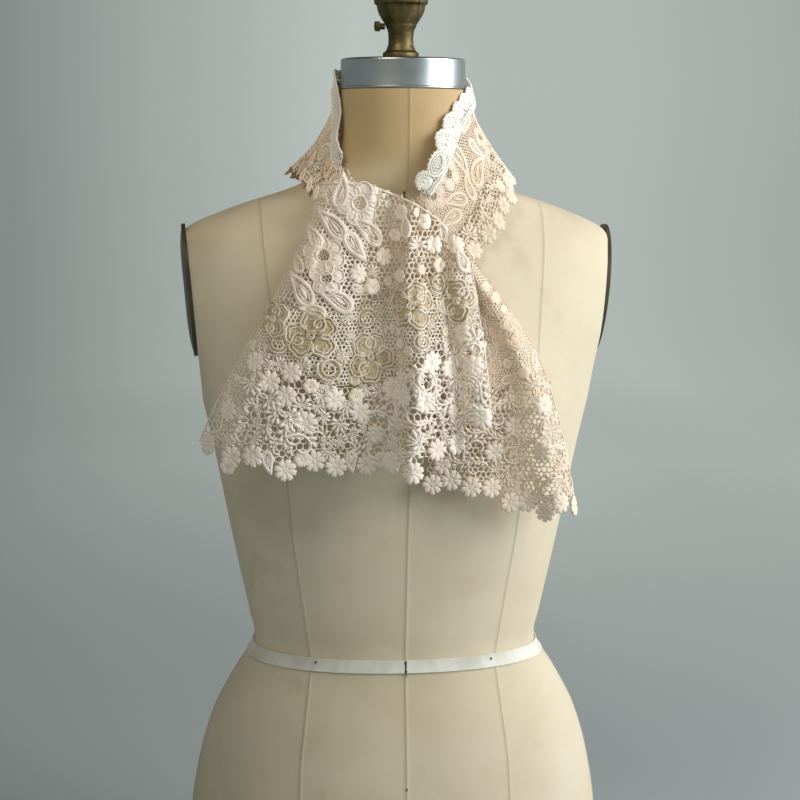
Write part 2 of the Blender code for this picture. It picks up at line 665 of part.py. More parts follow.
def main():
    clear_scene()
    ivory = material("ivory lace", (0.80, 0.74, 0.63), 0.9)
    beige = material("beige lace", (0.66, 0.58, 0.42), 0.9)
    cream = material("cream lace", (0.80, 0.70, 0.57), 0.9)
    white = material("white edging", (0.86, 0.82, 0.73), 0.85)
    canvas = material("form canvas", (0.68, 0.59, 0.43), 0.85)
    tape = material("cotton tape", (0.80, 0.77, 0.69), 0.85)
    steel = material("brushed steel", (0.62, 0.63, 0.65), 0.3, 1.0)
    brass = material("aged brass", (0.33, 0.26, 0.14), 0.45, 0.9)
    dark = material("painted steel", (0.10, 0.11, 0.08), 0.5, 0.3)

    build_form_body(canvas)
    build_arm_plate("arm_plate_left", -1, dark)
    build_arm_plate("arm_plate_right", 1, dark)
    build_waist_tape(tape)
    build_hardware(steel, brass)
    build_set_screw(dark)

    columns = 24
    bib_length = surface_length(bib_surface, np.full(60, 0.5), np.linspace(0, 1, 60))
    half_gap = 0.5 * SEAM_GAP / bib_length
    first, second = BIB_SEAMS
    band("bib_paisley_panel", ivory, bib_surface, columns, 9, (0, 1), (0, first - half_gap))
    band(
        "bib_rosette_band", beige, bib_surface, columns, 6, (0, 1), (first + half_gap, second - half_gap),
        relief=rosette_relief(bib_surface, first, second),
    )
    band(
        "bib_flower_border", ivory, bib_surface, columns, 9, (0, 1), (second + half_gap, 1),
        is_open=net_cells(3, 3, 0, 8), flowers=tuple(range(1, columns, 2)),
    )

    columns = 12
    tail_length = surface_length(tail_surface, np.full(60, 0.5), np.linspace(0, 1, 60))
    half_gap = 0.5 * SEAM_GAP / tail_length
    band("tail_rosette_panel", cream, tail_surface, columns, 8, (0, 1), (0, TAIL_SEAM - half_gap))
    band(
        "tail_flower_border", cream, tail_surface, columns, 7, (0, 1), (TAIL_SEAM + half_gap, 1),
        is_open=net_cells(3, 3, 0, 6), flowers=tuple(range(1, columns, 2)),
    )

    side_gap = 0.5 * SEAM_GAP / COLLAR_RUN[-1]
    for stretch, start, end in COLLAR_STRETCHES:
        reach = (start + (side_gap if start > 0 else 0), end - (side_gap if end < 1 else 0))
        columns = int(round((end - start) * 38))
        gap = 0.5 * SEAM_GAP / (110 * MM)
        flowers = [i for i in range(1, columns - 1, 2) if start + (end - start) * i / columns < 0.9]
        band(f"collar_{stretch}_panel", cream, collar_surface, columns, 5, reach, (0, COLLAR_SEAM - gap))
        band(
            f"collar_{stretch}_border", cream, collar_surface, columns, 4, reach, (COLLAR_SEAM + gap, 1),
            is_open=net_cells(3, 3, 1, 2), flowers=flowers,
        )
        strip = (max(reach[0], EDGING_START), min(reach[1], EDGING_END))
        band(f"edging_{stretch}", white, edging_surface, int((strip[1] - strip[0]) * 88), 2, strip, (0, 1))


main()
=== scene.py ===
# %% [markdown]
# # A lace scarf on a dress form
# The scarf is one long cloth pieced from bands of heavy lace. It is wound once round the neck of
# a canvas-covered dress form: one end falls over the chest as a bib, the other shows beside it.
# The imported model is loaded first, as a frame that nothing here moves or resizes. Each piece that
# follows is built at its real size, in metres, around that frame.

# %% The frame
import math

import bmesh
import bpy
import numpy as np
from mathutils import Matrix, Vector


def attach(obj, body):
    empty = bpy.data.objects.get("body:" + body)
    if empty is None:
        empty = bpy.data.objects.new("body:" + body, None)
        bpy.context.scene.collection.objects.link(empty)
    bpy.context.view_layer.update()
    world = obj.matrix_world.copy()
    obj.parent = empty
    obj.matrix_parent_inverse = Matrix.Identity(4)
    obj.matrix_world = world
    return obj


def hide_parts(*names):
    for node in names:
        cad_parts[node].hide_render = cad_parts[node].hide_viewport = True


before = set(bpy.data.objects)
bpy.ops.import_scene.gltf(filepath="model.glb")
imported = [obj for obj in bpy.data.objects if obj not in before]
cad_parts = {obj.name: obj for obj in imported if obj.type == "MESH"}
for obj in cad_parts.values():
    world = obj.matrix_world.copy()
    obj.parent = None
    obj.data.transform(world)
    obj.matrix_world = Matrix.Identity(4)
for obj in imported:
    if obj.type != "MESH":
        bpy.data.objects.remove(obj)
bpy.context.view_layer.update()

MM = 0.001

# %% [markdown]
# ## The camera
# The photograph was taken with a long lens at about the height of the shoulders, a little to the
# left of the form's front. A long lens flattens the form, so the distance is fitted first.

# %% The camera
def new_object(name, data):
    """An object for a camera, lamp or mesh, placed in the scene."""
    made = bpy.data.objects.new(name, data)
    bpy.context.scene.collection.objects.link(made)
    return made


CAMERA_DISTANCE = 1.70
CAMERA_AZIMUTH, CAMERA_HEIGHT, CAMERA_ROLL = math.radians(-6.3), math.radians(7.3), math.radians(0.3)
CAMERA_TARGET = Vector((0.0037, 0.0, 0.4597))
LENS_MM = 87.9

away = Vector((
    math.sin(CAMERA_AZIMUTH) * math.cos(CAMERA_HEIGHT),
    -math.cos(CAMERA_AZIMUTH) * math.cos(CAMERA_HEIGHT),
    math.sin(CAMERA_HEIGHT),
))
camera = new_object("camera", bpy.data.cameras.new("camera"))
camera.data.lens = LENS_MM
camera.matrix_world = (
    Matrix.Translation(CAMERA_TARGET + away * CAMERA_DISTANCE)
    @ (-away).to_track_quat("-Z", "Y").to_matrix().to_4x4()
    @ Matrix.Rotation(CAMERA_ROLL, 4, "Z")
)
bpy.context.scene.camera = camera
bpy.context.scene.view_settings.view_transform = "Standard"

# %% [markdown]
# ## Soft studio light
# In the photograph a large window lights the form from the right, and little comes from the left.
# One big area lamp stands in for the window. A dim one and a pale world fill the shadows.

# %% Lights
def lamp(name, place, aim, size, watts, tint):
    made = new_object(name, bpy.data.lights.new(name, "AREA"))
    made.data.shape, made.data.energy, made.data.color = "RECTANGLE", watts, tint
    made.data.size, made.data.size_y = size
    made.location = place
    made.rotation_euler = (Vector(aim) - Vector(place)).to_track_quat("-Z", "Y").to_euler()
    return made


lamp("window", (1.75, -0.72, 1.30), (0, 0, 0.55), (1.6, 1.5), 52, (0.98, 1.0, 1.02))
room = lamp("room", (-0.6, -0.85, 1.55), (-0.04, 0, 0.72), (0.6, 0.6), 0.80, (1.0, 0.88, 0.70))
room.data.spread = math.radians(57)
world = bpy.data.worlds.new("pale room")
bpy.context.scene.world = world
world.use_nodes = True
world.node_tree.nodes["Background"].inputs["Color"].default_value = (0.86, 0.80, 0.68, 1)
world.node_tree.nodes["Background"].inputs["Strength"].default_value = 0.03

# %% [markdown]
# ## Materials
# Each material is a Principled shader. One function turns a colour as painters and screens write
# it into the linear colour that light adds up in, and one adds a node with its settings and links.

# %% Colours and nodes
def linear(hex_colour):
    channels = [int(hex_colour[i:i + 2], 16) / 255 for i in (1, 3, 5)]
    return [c / 12.92 if c <= 0.04045 else ((c + 0.055) / 1.055) ** 2.4 for c in channels] + [1.0]


def set_inputs(node, inputs):
    """Sets inputs by name or number. A node or a socket is linked, a node by its first output in use."""
    for key, value in inputs.items():
        if isinstance(value, bpy.types.Node):
            value = next(output for output in value.outputs if output.enabled)
        if isinstance(value, bpy.types.NodeSocket):
            node.id_data.links.new(value, node.inputs[key])
        else:
            node.inputs[key].default_value = value


def new_material(name, inputs):
    """A material, its shader and the Object coordinates that its patterns are laid on."""
    made = bpy.data.materials.new(name)
    made.use_nodes = True
    shader = made.node_tree.nodes["Principled BSDF"]
    set_inputs(shader, inputs)
    return made, shader, add_node(made, "TexCoord", {}).outputs["Object"]


def add_node(made, kind, inputs, stops=(), **settings):
    """A node with its settings, its inputs and, if it is a colour ramp, its stops of place and hex colour."""
    node = made.node_tree.nodes.new("ShaderNode" + kind)
    for key, value in settings.items():
        setattr(node, key, value)
    set_inputs(node, inputs)
    for k, (place, hex_colour) in enumerate(stops):
        if k > 1:
            node.color_ramp.elements.new(1.0)
        node.color_ramp.elements[k].position = place
        node.color_ramp.elements[k].color = linear(hex_colour)
    return node

# %% [markdown]
# The stage is a pale floor that curves up into a wall all round, so that every view has the same
# calm ground behind the form. The wall is far off, and it has a faint glow of its own: painted light,
# brightest to the right of the form and dimmer to the left and on the floor near the form.

# %% The stage
def paper_with_painted_light():
    """Paper with a faint glow of painted light. It is palest to the right of the form and dims to the left and on the
    floor.
    """
    made, shader, where = new_material("matt backdrop paper with painted light", {
        "Roughness": 0.9, "Base Color": linear("#868d8d"), "Emission Strength": 1.0,
    })
    parts = add_node(made, "SeparateXYZ", {"Vector": where})
    side = add_node(made, "MapRange", {"Value": parts.outputs["X"], "From Min": -0.75, "From Max": 1.8})
    reach = add_node(made, "VectorMath", {"Vector": where}, operation="LENGTH")
    far = add_node(made, "MapRange", {"Value": reach, "From Max": 5.0})
    painted_light_by_side = add_node(made, "ValToRGB", {"Fac": side}, (
        (0.0, "#8a8a8a"), (0.1, "#a7a7a7"), (0.18, "#bababa"), (0.29, "#cbcbcb"), (0.45, "#e8e8e8"),
        (0.62, "#d7d7d7"), (0.77, "#d7d7d7"), (1.0, "#c4c4c4"),
    ))
    painted_light_by_reach = add_node(made, "ValToRGB", {"Fac": far}, (
        (0.1, "#7c7c7c"), (0.16, "#909090"), (0.22, "#a6a6a6"), (0.3, "#c2c2c2"), (0.4, "#dcdcdc"),
        (0.52, "#eeeeee"), (0.68, "#f1f1f1"), (0.88, "#ffffff"),
    ))
    # Painted light: the glow is brightest to the right and far from the form, and dim to the left and close to it, as
    # the window's light falls.
    both = add_node(made, "Math", {0: painted_light_by_side, 1: painted_light_by_reach}, operation="MULTIPLY")
    glow = add_node(made, "ValToRGB", {"Fac": both}, ((0.0, "#3f4546"), (1.0, "#bcc3bd")))
    set_inputs(shader, {"Emission Color": glow})
    return made


def new_grid(name, columns, rows):
    """A flat grid of faces, to be wrapped round something."""
    bpy.ops.object.select_all(action="DESELECT")
    bpy.ops.mesh.primitive_grid_add(x_subdivisions=columns, y_subdivisions=rows, size=1)
    bpy.context.object.name = name
    return bpy.context.object


FLOOR_RADIUS, SWEEP_RADIUS, WALL_TOP = 4.2, 0.8, 3.0
backdrop = new_grid("backdrop", 96, 40)
for vertex in backdrop.data.vertices:
    around = 2 * math.pi * (vertex.co.x + 0.5)
    run = (vertex.co.y + 0.5) * (FLOOR_RADIUS + SWEEP_RADIUS * math.pi / 2 + WALL_TOP - SWEEP_RADIUS)
    turn = min(max((run - FLOOR_RADIUS) / SWEEP_RADIUS, 0), math.pi / 2)
    radius = min(run, FLOOR_RADIUS) + SWEEP_RADIUS * math.sin(turn)
    z = SWEEP_RADIUS * (1 - math.cos(turn)) + max(run - FLOOR_RADIUS - SWEEP_RADIUS * math.pi / 2, 0)
    vertex.co = (-radius * math.cos(around), radius * math.sin(around), z - 0.0005)
bpy.ops.object.mode_set(mode="EDIT")
bpy.ops.mesh.select_all(action="SELECT")
bpy.ops.mesh.remove_doubles(threshold=1e-5)
bpy.ops.mesh.dissolve_degenerate(threshold=1e-5)
bpy.ops.mesh.normals_make_consistent(inside=True)
bpy.ops.object.mode_set(mode="OBJECT")
bpy.ops.object.shade_smooth()
backdrop.data.materials.append(paper_with_painted_light())

# %% [markdown]
# ## Sizes shared with the model
# The form's sections, the lines of the hanging ends and the sections of the collar are those that
# the model was built from, repeated here because a cloth of real threads has to follow them.

# %% Tables of the form and of the cloth, in millimetres
SECTION_POWER = 2.2
BUST = {"x": 72 * MM, "height": 468 * MM, "half_width": 52 * MM, "half_height": 58 * MM, "depth": 12 * MM}
WALL = 1.3 * MM

# The neck stands a little to the viewer's right of the form's middle.
NECK_SHIFT = 2.4 * MM
NECK_SHIFT_HEIGHTS = (625 * MM, 680 * MM)

# Horizontal sections of the form, from its underside to the top of its neck, in millimetres.
# height, half width, depth in front of the centre, depth behind it, y of the centre
FORM_SECTIONS = np.array([
    (0, 171, 104, 116, 0), (60, 180, 108, 126, 0), (105, 178.5, 106, 122, 0),
    (137, 173.5, 103, 115, 0), (165, 167, 99, 107, 0), (192, 157.5, 95, 101, 0),
    (212, 147, 91, 96, 0), (228, 137.5, 88, 91, 0), (238, 130.5, 87, 88, 0),
    (246, 125, 86, 86, 0), (256, 123, 86, 85.5, 0), (275, 127, 88, 86, 0),
    (301, 132.6, 91, 88, 0), (328, 138.5, 95, 90, 0), (355, 144, 99, 93, 0),
    (390, 151, 105, 97, 0), (425, 158, 110, 101, 0), (460, 166, 113, 104, 0),
    (501, 174.5, 108, 106, 0), (525, 182, 103, 106, 0), (550, 187.5, 97, 106, 0),
    (590, 188, 84, 100, 0), (604, 184, 77, 93, 0), (612, 175, 72, 87, 0),
    (618, 163, 68.5, 82.5, -1), (624, 148, 65, 78, -2), (631, 129, 61, 72, -4),
    (638, 107, 58.5, 64, -7), (645, 88, 57, 57, -11), (653, 75, 55.5, 52, -14),
    (664, 62, 53.5, 50, -17), (680, 54, 52.5, 49.5, -20), (700, 52, 52, 49.5, -21),
    (725.5, 51.8, 52, 49.5, -22),
], float) * MM

# Cloth hangs over the form like this: it spans hollows, and it stands off the form's sides.
DRAPE_SPREAD = 50 * MM
DRAPE_POWER = 3.0
DRAPE_SOFTNESS = 3 * MM
DRAPE_TOP = 690 * MM

# The bib's lines across the cloth, from its upper edge to its hem, as x and height in
# millimetres at five places from the viewer's left edge to the right one.
BIB_ALONG = np.array([0.0, 0.19, 0.38, 0.62, 0.81, 1.0])
BIB_ACROSS = np.array([0.0, 0.25, 0.5, 0.75, 1.0])
BIB_LINES = np.array([
    [(-69, 648), (-47, 650), (-14, 641), (22, 621), (53, 588)],
    [(-87, 599), (-58, 599), (-20, 603), (20, 602), (52, 585)],
    [(-111, 554), (-70, 546), (-26, 556), (14, 573), (51, 580)],
    [(-129, 524), (-84, 497), (-32, 488), (15, 519), (55, 541)],
    [(-155, 477), (-101, 461), (-42, 456), (12, 474), (59, 504)],
    [(-171, 440), (-117, 426), (-51, 424), (8, 427), (61, 466)],
], float) * MM
BIB_SEAMS = (0.38, 0.62)
BIB_CLEARANCE = 11 * MM
# across at the top, across at the hem, half width across, height at the top, height at the hem
BIB_FOLDS = (
    (0.30, 0.22, 0.150, 3 * MM, 20 * MM),
    (0.52, 0.50, 0.045, 5 * MM, 3 * MM),
    (0.66, 0.75, 0.095, 7 * MM, 21 * MM),
    (0.90, 0.97, 0.055, 6 * MM, 15 * MM),
)
BIB_EDGE_ROLL = {"across": 0.07, "depth": 9 * MM}

# The tail's lines in the same way, at four places across it.
TAIL_ALONG = np.array([0.0, 0.25, 0.5, 0.75, 1.0])
TAIL_ACROSS = np.array([0.0, 0.33, 0.67, 1.0])
TAIL_LINES = np.array([
    [(18, 580), (29, 583), (41, 585), (53, 587)],
    [(22, 536), (43, 538), (65, 540), (85, 542)],
    [(20, 486), (50, 487), (79, 495), (106, 508)],
    [(14, 444), (53, 441), (91, 442), (125, 447)],
    [(12, 408), (54, 404), (98, 386), (138, 388)],
], float) * MM
TAIL_SEAM = 0.55
TAIL_CLEARANCE = 2.1 * MM
TAIL_FOLDS = (
    (0.80, 0.86, 0.130, 5 * MM, 17 * MM),
    (0.30, 0.34, 0.120, 0 * MM, 3 * MM),
)
TAIL_EDGE_ROLL = {"across": 0.06, "depth": 6 * MM}

# The collar's sections, from the viewer's right throat round the back to the left throat.
# Each has four points from the upper edge to the hem: the edge, the trough, the ridge and
# the hem, as the turn round the neck in degrees (0 is the front, 90 the viewer's left, 180
# the back), the distance from the neck's axis and the height in millimetres.
COLLAR_AXIS = (2.4 * MM, -18 * MM)
COLLAR_ALONG = np.array([0, 0.028, 0.08, 0.14, 0.22, 0.33, 0.44, 0.545, 0.65, 0.755, 0.84, 0.92, 1.0])
COLLAR_ACROSS = np.array([0.0, 0.3, 0.6, 1.0])
COLLAR_SECTIONS = np.array([
    [(356, 63, 636), (343, 68, 619), (334, 77, 603), (326, 86, 590)],
    [(350, 64, 645), (336, 69, 629), (325, 78, 612), (318, 87, 599)],
    [(340, 64.5, 663), (325, 68, 646), (315, 80, 630), (310, 93, 614)],
    [(330, 59.5, 684), (312, 65, 668), (302, 80, 647), (301, 94, 630)],
    [(308, 56.5, 708), (298, 63, 688), (289, 77, 664), (288, 92, 646)],
    [(268, 56, 723), (269, 61, 702), (270, 76, 677), (271, 86, 660)],
    [(225, 54, 729), (225, 54.5, 702), (225, 74, 670), (225, 104, 642)],
    [(180, 53, 731), (180, 47.3, 702), (180, 74, 665), (180, 114, 608)],
    [(135, 54, 730), (135, 54.5, 703), (135, 74, 670), (135, 104, 642)],
    [(92, 55, 731), (92, 59, 706), (91, 73, 680), (88, 89, 661)],
    [(74, 57, 700), (76, 63, 688), (76, 76, 668), (74, 87, 651)],
    [(62, 65, 673), (63, 69, 662), (63, 76, 649), (62, 84, 637)],
    [(46, 66, 650), (47, 69, 641), (49, 74, 632), (51, 80, 621)],
], float)
COLLAR_STRETCHES = (("right", 0.0, 0.385), ("back", 0.385, 0.70), ("left", 0.70, 1.0))
COLLAR_SEAM = 0.56
COLLAR_WAVES = 9
COLLAR_WAVE_DEPTH = 3 * MM

# The edging, a solid strip with a scalloped free edge, folded out along the upper edge.
EDGING_START, EDGING_END = 0.02, 0.955
EDGING_ON_COLLAR = 0.18
EDGING_LIFT = WALL + 1.1 * MM
EDGING_REACH = 5.5 * MM
SCALLOP_DEPTH = 4.5 * MM

# %% Curves through the tables
def cubic(keys, values, at):
    """Values read from a smooth curve through rows of a table. It runs straight on past the ends."""
    at = np.asarray(at, float)
    flat = at.reshape(-1)
    tables = np.broadcast_to(values, (len(flat),) + values.shape)
    return cubic_each(keys, tables, flat).reshape(at.shape + values.shape[1:])


def cubic_each(keys, tables, at):
    """The same with one table for each value of at."""
    slopes = np.gradient(tables, keys, axis=1)
    row = np.clip(np.searchsorted(keys, at, side="right") - 1, 0, len(keys) - 2)
    span = keys[row + 1] - keys[row]
    t = (at - keys[row]) / span
    inside = np.clip(t, 0, 1)
    shape = (-1,) + (1,) * (tables.ndim - 2)
    s, width = inside.reshape(shape), span.reshape(shape)
    beyond = ((t - inside) * span).reshape(shape)
    each = np.arange(len(at))
    low, high = tables[each, row], tables[each, row + 1]
    rise_low, rise_high = slopes[each, row], slopes[each, row + 1]
    curve = (
        (2 * s**3 - 3 * s**2 + 1) * low
        + (s**3 - 2 * s**2 + s) * width * rise_low
        + (3 * s**2 - 2 * s**3) * high
        + (s**3 - s**2) * width * rise_high
    )
    return curve + beyond * np.where(beyond < 0, slopes[:, 0], slopes[:, -1])


def form_section(height):
    """Half width, front depth, back depth and centre y of the form at a height."""
    return np.moveaxis(cubic(FORM_SECTIONS[:, 0], FORM_SECTIONS[:, 1:], height), -1, 0)


def neck_shift(height):
    """How far to the viewer's right the form's middle lies at a height."""
    low, high = NECK_SHIFT_HEIGHTS
    share = np.clip((height - low) / (high - low), 0, 1)
    return NECK_SHIFT * share * share * (3 - 2 * share)


def bust_relief(x, height):
    """How far the bust stands out of the plain section, in front."""
    rise = np.exp(-(((height - BUST["height"]) / BUST["half_height"]) ** 2))
    sides = sum(np.exp(-(((x - side * BUST["x"]) / BUST["half_width"]) ** 2)) for side in (-1, 1))
    return BUST["depth"] * rise * sides


def form_front(x, height):
    """How far in front of y = 0 the form's surface lies. It ends at the form's sides."""
    half, front, _, centre = form_section(height)
    away = np.abs(x - neck_shift(height)) / half
    share = np.clip(1 - away**SECTION_POWER, 0, 1) ** (1 / SECTION_POWER)
    return (front + bust_relief(x, height)) * share - centre


DRAPE_HEIGHTS = np.linspace(DRAPE_TOP, 0.3, 200)
DRAPE_DEPTHS = np.maximum.accumulate(form_front(np.zeros(200), DRAPE_HEIGHTS))


def drape_front(x, height):
    """How far in front of y = 0 cloth lies that hangs over the form."""
    depth = np.interp(-height, -DRAPE_HEIGHTS, DRAPE_DEPTHS)
    half = form_section(height)[0] + DRAPE_SPREAD
    share = np.clip(1 - (np.abs(x) / half) ** DRAPE_POWER, 0.02, 1) ** (1 / DRAPE_POWER)
    hung, body = depth * share, form_front(x, height)
    return DRAPE_SOFTNESS * np.logaddexp(hung / DRAPE_SOFTNESS, body / DRAPE_SOFTNESS)


def fold_relief(folds, across, along):
    """Height of the folds: soft ridges that run from the throat to the hem and grow on the way."""
    relief = np.zeros(np.broadcast(across, along).shape)
    fall = np.clip(along, 0, 1.1)
    for top, hem, half_width, top_height, hem_height in folds:
        middle = top + (hem - top) * fall
        height = top_height + (hem_height - top_height) * fall**0.8
        relief = relief + height * np.exp(-(((across - middle) / half_width) ** 2))
    return relief


def hanging_point(end, across, along):
    """x and height of a point of a hanging end, from its lines and their places across and along."""
    lines, across_keys, along_keys = end[:3]
    by_line = cubic(along_keys, lines, along.reshape(-1))
    return cubic_each(across_keys, by_line, across.reshape(-1)).reshape(across.shape + (2,))


def collar_surface(around, down):
    """A point of the collar, from the right throat round the back and from its upper edge."""
    around, down = np.broadcast_arrays(np.asarray(around, float), np.asarray(down, float))
    by_section = cubic(COLLAR_ALONG, COLLAR_SECTIONS, around.reshape(-1))
    place = cubic_each(COLLAR_ACROSS, by_section, down.reshape(-1)).reshape(around.shape + (3,))
    turn = np.radians(place[..., 0])
    wave = 0.5 - 0.5 * np.cos(2 * np.pi * COLLAR_WAVES * around)
    radius = place[..., 1] * MM + COLLAR_WAVE_DEPTH * wave * np.clip(down, 0, 1.2) ** 2
    height = place[..., 2] * MM
    x, y = COLLAR_AXIS[0] - radius * np.sin(turn), COLLAR_AXIS[1] - radius * np.cos(turn)
    return np.stack([x, y, height], axis=-1)


def run_along(points):
    """How far along a line each of its points lies."""
    return np.concatenate([[0], np.cumsum(np.linalg.norm(np.diff(points, axis=0), axis=1))])


def circle(angle):
    """Points or directions of a circle of radius 1."""
    return np.stack([np.cos(angle), np.sin(angle)], axis=-1)


def outline_normals(outline):
    """Which way a horizontal outline of the form faces at each of its points."""
    along = np.gradient(outline[:, :2], axis=0)
    normal = np.stack([along[:, 1], -along[:, 0]], axis=-1)
    return normal / np.maximum(np.linalg.norm(normal, axis=1, keepdims=True), 1e-9)


def set_flat_map(mesh, uv_layer, flat):
    """Writes the flat place of each vertex, in metres, as the mesh's UV map."""
    corner = np.empty(len(mesh.loops), int)
    mesh.loops.foreach_get("vertex_index", corner)
    uv_layer.data.foreach_set("uv", flat[corner].ravel())

# %% [markdown]
# ## The canvas form
# A dress form is a hollow shell covered with tightly stretched linen canvas, sewn from panels that
# meet in fine seams. A grid is wrapped round the table of sections, with its columns crowded
# together at each seam, so that the welt of a seam is real relief and the rest stays smooth.

# %% The covered body
SEAM_WIDTH, SEAM_HEIGHT = 1.0 * MM, 0.45 * MM
NECK_TOP = 725.5 * MM
PLATE_CENTRE = Vector((175.5 * MM, 2 * MM, 556 * MM))
PLATE_LEAN = math.radians(5.2)
# height and distance from the centre front or back, in millimetres
PRINCESS_SEAM = np.array([
    (0, 90), (92, 91), (165, 88), (245, 78), (355, 94), (480, 106), (600, 117), (640, 119), (726, 119),
]) * MM
WELT_REACH = 3.2 * MM
WELT_STEPS = np.array([0, 0.75, 1.5]) * MM
COLUMNS_BETWEEN = 14


def section_point(height, angle):
    """A point of the form's outline at a height: angle 0 is the viewer's right, a quarter turn the back."""
    half, front, back, centre = form_section(height)
    power = 2 / SECTION_POWER
    across, rise = np.cos(angle), np.sin(angle)
    x = half * np.sign(across) * np.abs(across) ** power
    rise = np.sign(rise) * np.abs(rise) ** power
    y = centre + np.where(rise < 0, front + bust_relief(x, height), back) * rise
    return np.stack([x + neck_shift(height), y, height + 0 * x], axis=-1)


def seam_angles(height):
    """Where the eight seams cross a section, as angles, starting at the viewer's right side."""
    half = form_section(height)[0]
    share = min(np.interp(height, *PRINCESS_SEAM.T) / half, 0.985)
    princess = math.acos(share ** (SECTION_POWER / 2))
    return np.array([
        0, princess, 0.5 * math.pi, math.pi - princess, math.pi, math.pi + princess, 1.5 * math.pi,
        2 * math.pi - princess, 2 * math.pi,
    ])


def body_ring(height):
    """Angles of one ring's columns, and how far along the outline each is from the nearest seam."""
    fine = np.linspace(0, 2 * math.pi, 1441)
    outline = section_point(np.full(1441, height), fine)
    run = run_along(outline)
    seams = np.interp(seam_angles(height), fine, run)
    places, gaps = [], []
    for start, end in zip(seams, seams[1:]):
        reach = min(1.0, (end - start) / (9 * MM))
        inner = np.linspace(start + WELT_REACH * reach, end - WELT_REACH * reach, COLUMNS_BETWEEN)
        here = np.concatenate([start + WELT_STEPS * reach, inner, end - WELT_STEPS[:0:-1] * reach])
        places.append(here)
        gaps.append(np.minimum(here - start, end - here))
    places = np.concatenate(places + [[run[-1]]])
    return np.interp(places, run, fine), np.concatenate(gaps + [[0.0]]), places


BODY_ROWS = 150
body_heights = np.unique(np.concatenate([
    np.linspace(0, NECK_TOP, BODY_ROWS), np.linspace(600 * MM, 660 * MM, 22), [1.5 * MM],
]))
rings = [body_ring(height) for height in body_heights]
columns = len(rings[0][0])
body = new_grid("canvas_body", columns - 1, len(body_heights) - 1)
points, seam_share, flat = [], [], []
for height, (angles, gap, run) in zip(body_heights, rings):
    fade = np.where(np.abs(angles - 1.5 * math.pi) < 0.3, 1.0, np.clip((636 * MM - height) / (4 * MM), 0.15, 1))
    welt = np.exp(-((gap / SEAM_WIDTH) ** 2)) * fade
    outline = section_point(np.full(columns, height), angles)
    normal = outline_normals(outline)
    normal[0] = normal[-1] = (1, 0)
    outline[:, :2] += SEAM_HEIGHT * welt[:, None] * normal
    outline[-1] = outline[0]
    points.append(outline)
    seam_share.append(welt)
    flat.append(np.stack([run, np.full(columns, height)], axis=-1))
body.data.vertices.foreach_set("co", np.concatenate(points).ravel())
body.data.attributes.new("seam", "FLOAT", "POINT").data.foreach_set("value", np.concatenate(seam_share))
set_flat_map(body.data, body.data.uv_layers.active, np.concatenate(flat))


def edit(obj):
    """Opens one piece in edit mode with nothing selected."""
    bpy.ops.object.select_all(action="DESELECT")
    obj.select_set(True)
    bpy.context.view_layer.objects.active = obj
    bpy.ops.object.mode_set(mode="EDIT")
    bpy.ops.mesh.select_mode(type="VERT")
    bpy.ops.mesh.select_all(action="DESELECT")


def pick(obj, test, kind="verts"):
    """Selects the vertices or faces that pass a test of their middle, and nothing else."""
    bpy.ops.mesh.select_all(action="DESELECT")
    shape = bmesh.from_edit_mesh(obj.data)
    for part in getattr(shape, kind):
        middle = part.co if kind == "verts" else sum((v.co for v in part.verts), Vector()) / len(part.verts)
        if test(middle):
            part.select_set(True)
    shape.select_flush_mode()
    bmesh.update_edit_mesh(obj.data)


def finish_edit(angle=None):
    """Turns all faces outward, leaves edit mode and shades the piece smooth."""
    bpy.ops.mesh.select_all(action="SELECT")
    bpy.ops.mesh.normals_make_consistent(inside=False)
    bpy.ops.object.mode_set(mode="OBJECT")
    if angle is None:
        bpy.ops.object.shade_smooth()
    else:
        bpy.ops.object.shade_smooth_by_angle(angle=math.radians(angle))


edit(body)
bpy.ops.mesh.select_all(action="SELECT")
bpy.ops.mesh.remove_doubles(threshold=1e-6)
for end in (0, NECK_TOP):
    pick(body, lambda co: abs(co.z - end) < 1e-5)
    bpy.ops.mesh.edge_face_add()
ARMHOLE_HEIGHTS = (456 * MM, 656 * MM)
for side in (-1, 1):
    pick(body, lambda co: ARMHOLE_HEIGHTS[0] < co.z < ARMHOLE_HEIGHTS[1] and co.x * side > 100 * MM, "faces")
    outward = Vector((side * math.cos(PLATE_LEAN), 0, -math.sin(PLATE_LEAN)))
    middle = Vector((side * PLATE_CENTRE.x, PLATE_CENTRE.y, PLATE_CENTRE.z))
    bpy.ops.mesh.bisect(plane_co=middle, plane_no=outward, use_fill=True, clear_outer=True)
finish_edit(40)
print("body faces", len(body.data.polygons), "size", tuple(round(d, 4) for d in body.dimensions))

# %% [markdown]
# Unbleached linen canvas: a plain weave with slubs, yellowed by age and darkest on the neck, where
# hands hold it. Its threads are near 0.5 mm, too fine for the picture, so they are drawn at 1.2 mm.

# %% Linen canvas
DRAWN_THREAD = 1.2 * MM


